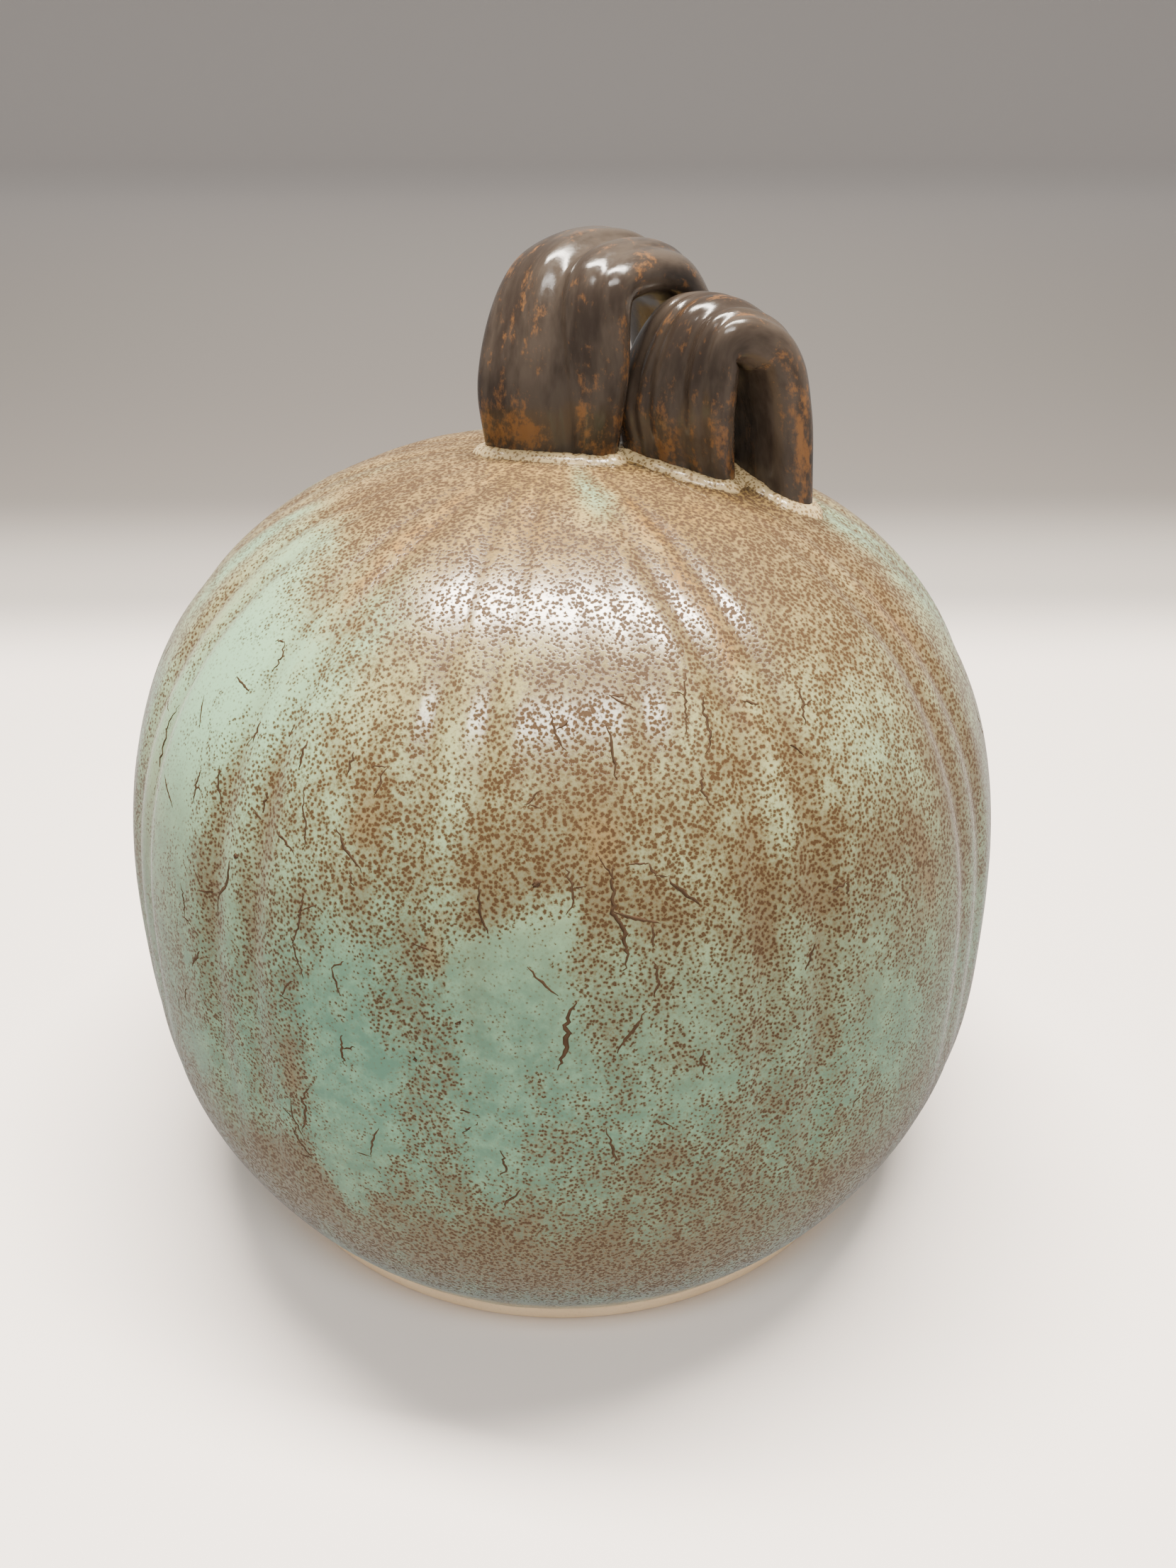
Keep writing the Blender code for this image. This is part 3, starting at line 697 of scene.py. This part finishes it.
# The larger cracks of the seen side: azimuth and run of the upper end, length in mm, drift in
# degrees from end to end, and half width in mm at the widest
CRACKS = (
    (1, 80, 10, -2, 0.42), (5, 98, 14, 1, 0.36), (5, 92, 2, 5, 0.34), (11, 96, 4, 3, 0.40),
    (9, 98, 3, 1, 0.26), (9, 90, 3, 0, 0.24), (9, 85, 5, 0, 0.28), (8, 78, 6, -3, 0.26),
    (14, 71, 4, 0, 0.26), (4, 60, 7, 1, 0.28), (28, 83, 4, -2, 0.32), (32, 90, 2, 0, 0.28),
    (28, 114, 6, 2, 0.28), (24, 117, 1, 2, 0.24), (6, 120, 2, 3, 0.22), (-4, 85, 4, 3, 0.26),
    (-9, 96, 7, 1, 0.38), (-7, 56, 5, 0, 0.24), (-5, 49, 4, -2, 0.26), (-11, 62, 1, 2, 0.24),
    (-17, 87, 1, 3, 0.24), (-26, 100, 5, 4, 0.28), (-26, 110, 3, 0, 0.28), (-25, 81, 4, 1, 0.24),
    (-24, 71, 5, 0, 0.28), (-29, 60, 10, -2, 0.32), (-32, 50, 5, 2, 0.30), (-41, 90, 10, -2, 0.40),
    (-43, 84, 1, -3, 0.28), (-50, 82, 5, 1, 0.28), (-46, 73, 4, -2, 0.26), (-50, 64, 5, -1, 0.24),
    (-37, 103, 6, 0, 0.30), (-34, 97, 2, 3, 0.26), (-36, 112, 3, -1, 0.30), (-33, 110, 4, 0, 0.28),
    (-42, 110, 3, 0, 0.34), (-50, 114, 1, 4, 0.26), (-46, 102, 6, 2, 0.26), (-49, 100, 5, 0, 0.30),
    (-58, 95, 3, 4, 0.30), (-55, 109, 4, 2, 0.26), (-63, 104, 15, 0, 0.34), (-69, 103, 1, 4, 0.26),
)
# Small spots where the glaze pooled dark: azimuth, run, radius in mm
POOL_SPOTS = ((-16, 69, 0.62), (-3, 96, 0.55), (-11, 76, 0.35), (-40, 91, 0.50))
POOL_TILT = 0.3
# Cracks strewn by chance: how many, run, length in mm, drift in degrees, and half width in mm
CRACK_SEED = 21
FRONT_FINE_CRACKS = 26
BACK_CRACKS = 90
STREWN_RUNS = (45.0, 125.0)
STREWN_LENGTHS = (1.5, 9.0)
STREWN_DRIFTS = (-2.0, 2.0)
THINNEST, FRONT_WIDEST, BACK_WIDEST = 0.20, 0.24, 0.40
# A fork's reach aside in degrees and along the run in mm, and its share of the width
FORK_CHANCE = 0.35
FORK_ASIDE, FORK_ALONG = (1.2, 2.4), (-1.0, 1.5)
FORK_WIDTH = 0.75
CORNER_GAP = 3.0
CORNER_STRAY = 0.7
# Between its corners a crack sways by noise: reach in degrees and in mm, and how the noise is read
CRACK_STEPS = 6
SWAY_AZIMUTH, SWAY_RUN = 0.45, 0.35
SWAY_RATE, SWAY_APART, SWAY_SHIFT = 0.8, 3.1, 9.0
# Taper at the ends, unevenness of the width, and the strip's section in mm
TAPER_END, TAPER_POWER = 0.04, 0.6
WIDTH_VARIES, WIDTH_SHIFT = 0.35, 4.0
CRACK_PROUD, CRACK_EDGE, CRACK_SINK = 0.02, -0.01, -0.12
CRACK_SECTION = ((-1.0, CRACK_EDGE), (0.0, CRACK_PROUD), (1.0, CRACK_EDGE), (0.0, CRACK_SINK))


def crack_path(corners, seed):
    """Closely spaced points along a crack, wandering a little between its corners."""
    points = []
    for (a0, s0), (a1, s1) in zip(corners, corners[1:]):
        for step in range(CRACK_STEPS):
            share = step / CRACK_STEPS
            points.append((a0 + (a1 - a0) * share, s0 + (s1 - s0) * share))
    points.append(corners[-1])
    path = []
    for i, (a, s) in enumerate(points):
        sway = Vector((i * SWAY_RATE, seed * SWAY_APART, 0.0))
        shifted = sway + Vector((SWAY_SHIFT, 0.0, 0.0))
        path.append((a + SWAY_AZIMUTH * noise.noise(sway), s + SWAY_RUN * noise.noise(shifted)))
    return path


def crack_strip(corners, half_width, seed, points, faces):
    """Adds one crack: a thin closed strip, tapered at both ends, set into the glaze."""
    path = np.array(crack_path(corners, seed))
    count = len(path)
    ground = surface_points(path[:, 0], path[:, 1])
    radius, _, normal_r, normal_z = outline_at(path[:, 1])
    angle = np.radians(path[:, 0])
    normal = np.stack([normal_r * np.sin(angle), -normal_r * np.cos(angle), normal_z], 1)
    forward = np.gradient(ground, axis=0)
    forward /= np.linalg.norm(forward, axis=1, keepdims=True)
    sideways = np.cross(forward, normal)
    base = len(points)
    for i in range(count):
        share = min(max(i / (count - 1), TAPER_END), 1.0 - TAPER_END)
        taper = math.sin(math.pi * share) ** TAPER_POWER
        varied = 1.0 + WIDTH_VARIES * noise.noise(Vector((i * SWAY_RATE, seed, WIDTH_SHIFT)))
        width = half_width * taper * varied
        for across, up in CRACK_SECTION:
            points.append(tuple(ground[i] + sideways[i] * width * across + normal[i] * up))
    for i in range(count - 1):
        for k in range(4):
            a, b = base + i * 4 + k, base + i * 4 + (k + 1) % 4
            faces.append((a, b, b + 4, a + 4))
    faces.append((base + 3, base + 2, base + 1, base))
    end = base + (count - 1) * 4
    faces.append((end, end + 1, end + 2, end + 3))


def crack_corners(azimuth, run, length, drift, chance):
    """Corners of a crack that runs down the glaze and steps aside a little at each."""
    last = max(1, round(length / CORNER_GAP))
    corners = []
    for i in range(last + 1):
        stray = chance.uniform(-CORNER_STRAY, CORNER_STRAY) if 0 < i < last else 0.0
        corners.append((azimuth + drift * i / last + stray, run - length * i / last))
    return corners


def crack_and_fork(azimuth, run, length, drift, half_width, chance):
    """One crack, with a short side branch at times."""
    corners = crack_corners(azimuth, run, length, drift, chance)
    cracks = [(half_width, *corners)]
    if chance.random() < FORK_CHANCE:
        start = chance.choice(corners)
        fork = (start[0] + chance.choice((-1, 1)) * chance.uniform(*FORK_ASIDE),
                start[1] + chance.uniform(*FORK_ALONG))
        cracks.append((FORK_WIDTH * half_width, start, fork))
    return cracks


def strewn_cracks(count, first, last, widest, chance):
    """Cracks of the same kind, mostly upright, between two azimuths."""
    cracks = []
    for _ in range(count):
        cracks += crack_and_fork(chance.uniform(first, last), chance.uniform(*STREWN_RUNS),
                                 chance.uniform(*STREWN_LENGTHS), chance.uniform(*STREWN_DRIFTS),
                                 chance.uniform(THINNEST, widest), chance)
    return cracks


def pool_spot(azimuth, run, radius):
    """A short, wide crack that reads as a dark spot."""
    reach = math.degrees(radius / BELLY_RADIUS)
    tilt = POOL_TILT * radius
    return (radius, (azimuth - reach, run - tilt), (azimuth + reach, run + tilt))


def make_crackle(material):
    """Every crack and dark spot of the glaze as one mesh of closed strips."""
    points, faces = [], []
    chance = random.Random(CRACK_SEED)
    cracks = [pool_spot(*spot) for spot in POOL_SPOTS]
    for crack in CRACKS:
        cracks += crack_and_fork(*crack, chance)
    cracks += strewn_cracks(FRONT_FINE_CRACKS, -SEEN_SIDE, 0.5 * SEEN_SIDE, FRONT_WIDEST, chance)
    cracks += strewn_cracks(BACK_CRACKS, SEEN_SIDE, 360.0 - SEEN_SIDE, BACK_WIDEST, chance)
    for seed, (half_width, *corners) in enumerate(cracks):
        crack_strip(corners, half_width, seed, points, faces)
    return mesh_object("glaze_crackle", points, faces, material)


# ------------------------------------------------------------------ materials

def paint(red, green, blue):
    """A display colour, 0 to 255, as the linear colour that shaders take."""
    return tuple((channel / 255.0) ** 2.2 for channel in (red, green, blue)) + (1.0,)


class Graph:
    """Short calls for building one material's node tree."""

    def __init__(self, name):
        self.material = bpy.data.materials.new(name)
        self.material.use_nodes = True
        self.tree = self.material.node_tree
        self.shader = self.tree.nodes["Principled BSDF"]

    def set(self, socket, value):
        """Links a socket to another node's output, or gives it a plain value."""
        if isinstance(value, bpy.types.NodeSocket):
            self.tree.links.new(value, socket)
        else:
            socket.default_value = value

    def surface(self, **inputs):
        """Sets the shader's own sockets."""
        for key, value in inputs.items():
            self.set(self.shader.inputs[key.replace("_", " ")], value)

    def place(self):
        """Position on the object, in metres."""
        return self.tree.nodes.new("ShaderNodeTexCoord").outputs["Object"]

    def stored(self, name, kind="Fac"):
        """A value that the mesh stores per vertex."""
        node = self.tree.nodes.new("ShaderNodeAttribute")
        node.attribute_name = name
        return node.outputs[kind]

    def scaled(self, vector, factors):
        """A vector with each part multiplied."""
        node = self.tree.nodes.new("ShaderNodeVectorMath")
        node.operation = "MULTIPLY"
        self.set(node.inputs[0], vector)
        self.set(node.inputs[1], factors)
        return node.outputs[0]

    def grain(self, vector, size_mm, detail=2.0, roughness=0.5):
        """Noise from 0 to 1 whose features are about that size."""
        node = self.tree.nodes.new("ShaderNodeTexNoise")
        self.set(node.inputs["Vector"], vector)
        self.set(node.inputs["Scale"], 1.0 / (size_mm * MM))
        self.set(node.inputs["Detail"], detail)
        self.set(node.inputs["Roughness"], roughness)
        return node.outputs["Fac"]

    def strewn(self, vector, size_mm, reach_mm):
        """The same positions, each shifted a little, so that what is drawn there is ragged."""
        node = self.tree.nodes.new("ShaderNodeTexNoise")
        self.set(node.inputs["Vector"], vector)
        self.set(node.inputs["Scale"], 1.0 / (size_mm * MM))
        reach = 2.0 * reach_mm * MM
        shift = self.scaled(node.outputs["Color"], (reach, reach, reach))
        add = self.tree.nodes.new("ShaderNodeVectorMath")
        self.set(add.inputs[0], vector)
        self.set(add.inputs[1], shift)
        return add.outputs[0]

    def cells(self, vector, size_mm):
        """Distance to the nearest of points strewn about that far apart, in those lengths."""
        node = self.tree.nodes.new("ShaderNodeTexVoronoi")
        self.set(node.inputs["Vector"], vector)
        self.set(node.inputs["Scale"], 1.0 / (size_mm * MM))
        return node.outputs["Distance"]

    def sum(self, operation, a, b):
        """One arithmetic step."""
        node = self.tree.nodes.new("ShaderNodeMath")
        node.operation = operation
        self.set(node.inputs[0], a)
        self.set(node.inputs[1], b)
        return node.outputs[0]

    def fade(self, value, low, high, start=0.0, end=1.0):
        """A smooth change from start to end as the value goes from low to high."""
        node = self.tree.nodes.new("ShaderNodeMapRange")
        node.interpolation_type = "SMOOTHSTEP"
        self.set(node.inputs["Value"], value)
        for key, limit in (("From Min", low), ("From Max", high), ("To Min", start), ("To Max", end)):
            self.set(node.inputs[key], limit)
        return node.outputs["Result"]

    def mix(self, factor, a, b):
        """Two colours mixed by a factor."""
        node = self.tree.nodes.new("ShaderNodeMix")
        node.data_type = "RGBA"
        self.set(node.inputs[0], factor)
        self.set(node.inputs[6], a)
        self.set(node.inputs[7], b)
        return node.outputs[2]

    def bump(self, height, distance_mm, strength):
        """Fine relief on the shader's normal."""
        node = self.tree.nodes.new("ShaderNodeBump")
        self.set(node.inputs["Height"], height)
        node.inputs["Distance"].default_value = distance_mm * MM
        node.inputs["Strength"].default_value = strength
        self.set(self.shader.inputs["Normal"], node.outputs["Normal"])


TEAL = paint(70, 112, 96)
MINT = paint(138, 184, 148)
CREAM = paint(164, 132, 78)
TAN = paint(105, 83, 57)
UMBER = paint(84, 73, 58)
RUST_TAN = paint(150, 104, 46)
SPECKLE = paint(66, 46, 27)
HALO = paint(94, 78, 48)
# Painted shade: the darker glaze colour painted low on the body near the foot
FOOT_SHADE_PAINT = paint(60, 66, 54)
# Distance between specks, and the feature size and reach of their ragged edges, in mm
SPECK_GAP, PEPPER_GAP, SLIP_SPECK_GAP = 0.58, 0.40, 0.62
RAGGED_EDGES = (0.30, 0.22)


def make_turquoise_glaze():
    """Turquoise glaze that breaks into brown speckle, tan clouds and rust on its ribs."""
    g = Graph("turquoise_glaze")
    place = g.place()
    mint = g.stored("mint")
    cream, rust, groove = g.stored("cream"), g.stored("rust"), g.stored("groove")
    mottle = g.grain(place, 3.0, 5.0, 0.65)
    clouds = g.grain(g.scaled(place, (1.0, 1.0, 0.6)), 4.5, 6.0, 0.62)
    brown = g.sum("ADD", g.stored("brown"), g.fade(clouds, 0.30, 0.70, -0.22, 0.22))
    turned_cream = g.sum("MULTIPLY", cream, g.fade(mint, 0.0, 1.0, 1.0, 0.1))
    ragged = g.strewn(place, *RAGGED_EDGES)
    reach = g.sum("ADD", g.fade(brown, -0.1, 0.45, 0.16, 0.41), g.fade(brown, 0.4, 1.0, 0.0, 0.07))
    reach = g.sum("ADD", reach, g.fade(mottle, 0.3, 0.7, -0.06, 0.06))
    reach = g.sum("ADD", reach, g.fade(turned_cream, 0.3, 1.0, 0.0, 0.07))
    depth = g.sum("SUBTRACT", reach, g.cells(ragged, SPECK_GAP))
    pepper_reach = g.sum("MULTIPLY", reach, 0.85)
    pepper = g.fade(g.sum("SUBTRACT", pepper_reach, g.cells(ragged, PEPPER_GAP)), -0.08, 0.10)
    speck = g.fade(depth, -0.09, 0.13)
    halo = g.fade(depth, -0.32, 0.05)
    # Clear glaze teal low down and pale mint higher up: partly the glaze's own tone, partly painted
    # light from above
    sea = g.mix(g.fade(cream, 0.15, 0.55), TEAL, MINT)
    sea = g.mix(g.fade(mottle, 0.35, 0.75, 0.0, 0.35), sea, MINT)
    base = g.mix(turned_cream, sea, CREAM)
    covered = g.sum("MULTIPLY", g.fade(brown, 0.20, 1.05, 0.0, 0.80), g.fade(cream, 0.3, 1.0, 1.0, 0.6))
    base = g.mix(covered, base, g.mix(cream, UMBER, TAN))
    rust_shows = g.sum("MULTIPLY", g.fade(rust, 0.10, 0.8, 0.0, 0.65), g.fade(clouds, 0.3, 0.6))
    base = g.mix(rust_shows, base, RUST_TAN)
    base = g.mix(g.sum("MULTIPLY", groove, 0.25), base, TAN)
    # Painted shade: the glaze painted darker near the foot
    base = g.mix(g.fade(g.stored("low"), 0.0, 1.0, 0.0, 0.40), base, FOOT_SHADE_PAINT)
    tinted = g.mix(g.sum("MULTIPLY", halo, g.fade(brown, 0.0, 0.9, 0.30, 0.70)), base, HALO)
    tinted = g.mix(g.sum("MULTIPLY", pepper, 0.30), tinted, HALO)
    colour = g.mix(g.sum("MULTIPLY", speck, 0.9), tinted, SPECKLE)
    g.surface(Base_Color=colour, Roughness=g.fade(speck, 0.0, 1.0, 0.18, 0.60),
              Specular_IOR_Level=g.fade(speck, 0.0, 1.0, 0.90, 0.20),
              Sheen_Weight=0.12, Sheen_Roughness=0.4)
    height = g.sum("ADD", g.sum("MULTIPLY", speck, -0.5), g.sum("MULTIPLY", mottle, 0.6))
    g.bump(height, 0.06, 0.35)
    return g.material


def make_crack_glaze():
    """Dark brown glaze pooled in the cracks."""
    g = Graph("crack_glaze")
    tone = g.grain(g.place(), 1.4, 3.0)
    g.surface(Base_Color=g.mix(tone, paint(50, 39, 30), paint(78, 62, 48)), Roughness=0.8,
              Specular_IOR_Level=0.1)
    return g.material


def make_bare_clay():
    """Cream fired stoneware, matt, with fine grit and turning marks."""
    g = Graph("bare_clay")
    place = g.place()
    grit = g.grain(place, 0.5, 4.0, 0.7)
    blush = g.grain(place, 9.0, 3.0)
    rings = g.grain(g.scaled(place, (0.08, 0.08, 4.0)), 2.0, 2.0)
    colour = g.mix(blush, paint(248, 226, 188), paint(238, 208, 166))
    colour = g.mix(g.fade(grit, 0.58, 0.72, 0.0, 0.35), colour, paint(150, 116, 84))
    g.surface(Base_Color=colour, Roughness=0.8)
    g.bump(g.sum("ADD", grit, rings), 0.08, 0.5)
    return g.material


def make_stem_glaze():
    """Glossy brown-black glaze that breaks rust on ridges and edges."""
    g = Graph("stem_glaze")
    strap = g.stored("strap_place", "Vector")
    ridge, along = g.stored("ridge"), g.stored("along")
    blotches = g.grain(g.scaled(strap, (1.0, 0.5, 1.0)), 3.8, 7.0, 0.75)
    flecks = g.grain(g.scaled(strap, (1.0, 0.8, 1.0)), 0.9, 3.0, 0.65)
    cloud = g.grain(g.scaled(strap, (1.0, 0.35, 1.0)), 5.0, 4.0, 0.6)
    foot = g.fade(g.sum("MULTIPLY", along, g.sum("SUBTRACT", 1.0, along)), 0.05, 0.22, 1.0, 0.0)
    rusty = g.sum("ADD", g.sum("MULTIPLY", blotches, 0.72), g.sum("MULTIPLY", flecks, 0.30))
    rusty = g.sum("ADD", rusty, g.sum("MULTIPLY", ridge, 0.05))
    rusty = g.sum("ADD", rusty, g.sum("MULTIPLY", foot, 0.05))
    rust = g.sum("MULTIPLY", g.fade(rusty, 0.575, 0.70), g.fade(ridge, 0.0, 0.3, 0.3, 1.0))
    dark = g.mix(g.fade(cloud, 0.35, 0.65), paint(51, 44, 39), paint(74, 66, 59))
    colour = g.mix(g.sum("MULTIPLY", rust, 0.50), dark, paint(138, 95, 54))
    g.surface(Base_Color=colour, Roughness=g.fade(flecks, 0.3, 0.7, 0.12, 0.24),
              Specular_IOR_Level=0.4)
    g.bump(g.sum("ADD", blotches, g.sum("MULTIPLY", flecks, 0.4)), 0.12, 0.35)
    return g.material


def make_slip():
    """Cream slip under clear glaze, speckled like the glaze it meets."""
    g = Graph("slip_glaze")
    place = g.place()
    ragged = g.strewn(place, *RAGGED_EDGES)
    speck = g.fade(g.sum("SUBTRACT", 0.43, g.cells(ragged, SLIP_SPECK_GAP)), -0.07, 0.12)
    cloud = g.grain(place, 3.0, 3.0)
    colour = g.mix(cloud, paint(208, 182, 136), paint(178, 160, 120))
    colour = g.mix(g.sum("MULTIPLY", speck, 0.75), colour, paint(96, 70, 44))
    g.surface(Base_Color=colour, Roughness=0.2)
    g.bump(cloud, 0.15, 0.5)
    return g.material


# Behind the figure the paper carries painted shade and painted light: grey painted shade behind it,
# then pale painted light far back where the lamps' light falls off; start and end of each change in
# metres, and colour
PAPER_SHADE_AND_LIGHT = ((0.20, 0.29, paint(168, 163, 159)), (0.29, 0.43, paint(116, 112, 109)),
               (0.43, 2.20, paint(236, 229, 224)))


def make_paper():
    """Studio paper: white round the figure, grey with painted shade behind it, and pale again far back
    with painted light.
    """
    g = Graph("studio_paper")
    place = g.place()
    split = g.tree.nodes.new("ShaderNodeSeparateXYZ")
    g.set(split.inputs[0], place)
    tooth = g.grain(place, 60.0, 2.0)
    colour = g.mix(tooth, paint(245, 236, 230), paint(248, 239, 233))
    # Painted shade and painted light on the paper, by distance behind the figure
    for start, end, tone in PAPER_SHADE_AND_LIGHT:
        colour = g.mix(g.fade(split.outputs["Y"], start, end), colour, tone)
    g.surface(Base_Color=colour, Roughness=0.6)
    return g.material


# ------------------------------------------------------------------ studio

SWEEP_WIDTH = 12.0
SWEEP_FRONT, SWEEP_BACK = -3.0, 4.0
SWEEP_CURVE = 1.0
SWEEP_TOP = 3.0
FOLD_STEPS = 24


def make_sweep(material):
    """Floor and backdrop in one sheet of paper with a curved fold."""
    section = [(SWEEP_FRONT, 0.0), (0.0, 0.0)]
    for i in range(FOLD_STEPS + 1):
        turn = 0.5 * math.pi * i / FOLD_STEPS
        section.append((SWEEP_BACK - SWEEP_CURVE + SWEEP_CURVE * math.sin(turn),
                        SWEEP_CURVE * (1.0 - math.cos(turn))))
    section.append((SWEEP_BACK, SWEEP_TOP))
    half = 0.5 * SWEEP_WIDTH
    points, faces = [], []
    for y, z in section:
        points += [(-half / MM, y / MM, z / MM), (half / MM, y / MM, z / MM)]
    for i in range(len(section) - 1):
        faces.append((2 * i, 2 * i + 1, 2 * i + 3, 2 * i + 2))
    sweep = mesh_object("studio_sweep", points, faces, material)
    sweep.visible_glossy = False


# Soft boxes: place in metres, point aimed at, width and depth in metres, power in watts,
# colour, and whether glossy surfaces mirror them
SOFT_BOXES = {
    "overhead_strip": ((0.02, 0.08, 0.95), (0.0, 0.0, 0.12), 0.72, 0.15, 40.0, (1.0, 0.92, 0.81), True),
    "ceiling": ((0.0, -0.05, 1.35), (0.0, 0.0, 0.05), 1.7, 1.5, 1.0, (1.0, 0.985, 0.97), True),
    "front_strip": ((0.0, -0.50, 0.92), (0.0, 0.0, 0.12), 0.50, 0.16, 6.0, (1.0, 0.96, 0.91), True),
    "front_fill": ((0.0, -1.2, 0.55), (0.0, 0.0, 0.02), 1.2, 0.8, 2.8, (1.0, 0.97, 0.94), False),
}
AMBIENT = 0.34


def make_lights():
    """The soft boxes and the pale tent round them."""
    for name, (place, target, width, depth, power, colour, mirrored) in SOFT_BOXES.items():
        light = bpy.data.lights.new(name, "AREA")
        light.shape = "RECTANGLE"
        light.size, light.size_y = width, depth
        light.energy = power
        light.color = colour
        box = bpy.data.objects.new(name, light)
        bpy.context.scene.collection.objects.link(box)
        box.visible_glossy = mirrored
        box.location = place
        aim = Vector(target) - Vector(place)
        box.rotation_euler = aim.to_track_quat("-Z", "Y").to_euler()
    world = bpy.data.worlds.new("pale_tent")
    world.use_nodes = True
    background = world.node_tree.nodes["Background"]
    background.inputs["Color"].default_value = (1.0, 0.98, 0.96, 1.0)
    background.inputs["Strength"].default_value = AMBIENT
    bpy.context.scene.world = world


# The camera stands in front of and above the figure, looking down at it
CAMERA_PLACE = (0.0, -0.2086, 0.18199)
CAMERA_PITCH = 0.4977
CAMERA_YAW = 0.02076
IMAGE_HEIGHT = 2212
FOCAL_PIXELS = 1850.0
SENSOR = 36.0
NEAR_CLIP = 0.01


def make_camera():
    """A phone-like camera, close to the figure."""
    forward = Vector((math.sin(CAMERA_YAW) * math.cos(CAMERA_PITCH),
                      math.cos(CAMERA_YAW) * math.cos(CAMERA_PITCH), -math.sin(CAMERA_PITCH)))
    right = Vector((math.cos(CAMERA_YAW), -math.sin(CAMERA_YAW), 0.0))
    up = right.cross(forward)
    lens = bpy.data.cameras.new("camera")
    lens.sensor_width = SENSOR
    lens.lens = FOCAL_PIXELS / IMAGE_HEIGHT * SENSOR
    lens.clip_start = NEAR_CLIP
    camera = bpy.data.objects.new("camera", lens)
    bpy.context.scene.collection.objects.link(camera)
    turn = Matrix((right, up, -forward)).transposed().to_4x4()
    camera.matrix_world = Matrix.Translation(CAMERA_PLACE) @ turn
    bpy.context.scene.camera = camera


# ------------------------------------------------------------------ assembly

def stand_for(piece, node):
    """Lets a piece stand for a CAD node, moving with the figure's one body."""
    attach(piece, "root")
    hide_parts(node)


def main():
    """Builds every piece, the studio and the camera."""
    stand_for(make_glaze_skin(make_turquoise_glaze()), "body_glaze")
    stand_for(make_clay_shell(make_bare_clay()), "stoneware_body")
    stem_glaze = make_stem_glaze()
    large = make_strap("large_strap", LARGE_LOOP, LARGE_FLUTES, 1.0, stem_glaze)
    small = make_strap("small_strap", SMALL_LOOP, SMALL_FLUTES, 2.0, stem_glaze)
    stand_for(large, "large_stem_loop")
    stand_for(small, "small_stem_loop")
    slip = make_slip()
    beads = (
        ("large_front_bead", "large_loop_front_seam", LARGE_LOOP, 0.0),
        ("large_back_bead", "large_loop_back_seam", LARGE_LOOP, 1.0),
        ("small_front_bead", "small_loop_front_seam", SMALL_LOOP, 0.0),
        ("small_end_bead", "small_loop_end_seam", SMALL_LOOP, 1.0),
    )
    for seed, (name, node, loop, share) in enumerate(beads):
        stand_for(make_bead(name, loop, share, seed, slip), node)
    crackle = make_crackle(make_crack_glaze())
    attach(crackle, "root")
    make_sweep(make_paper())
    make_lights()
    make_camera()


main()
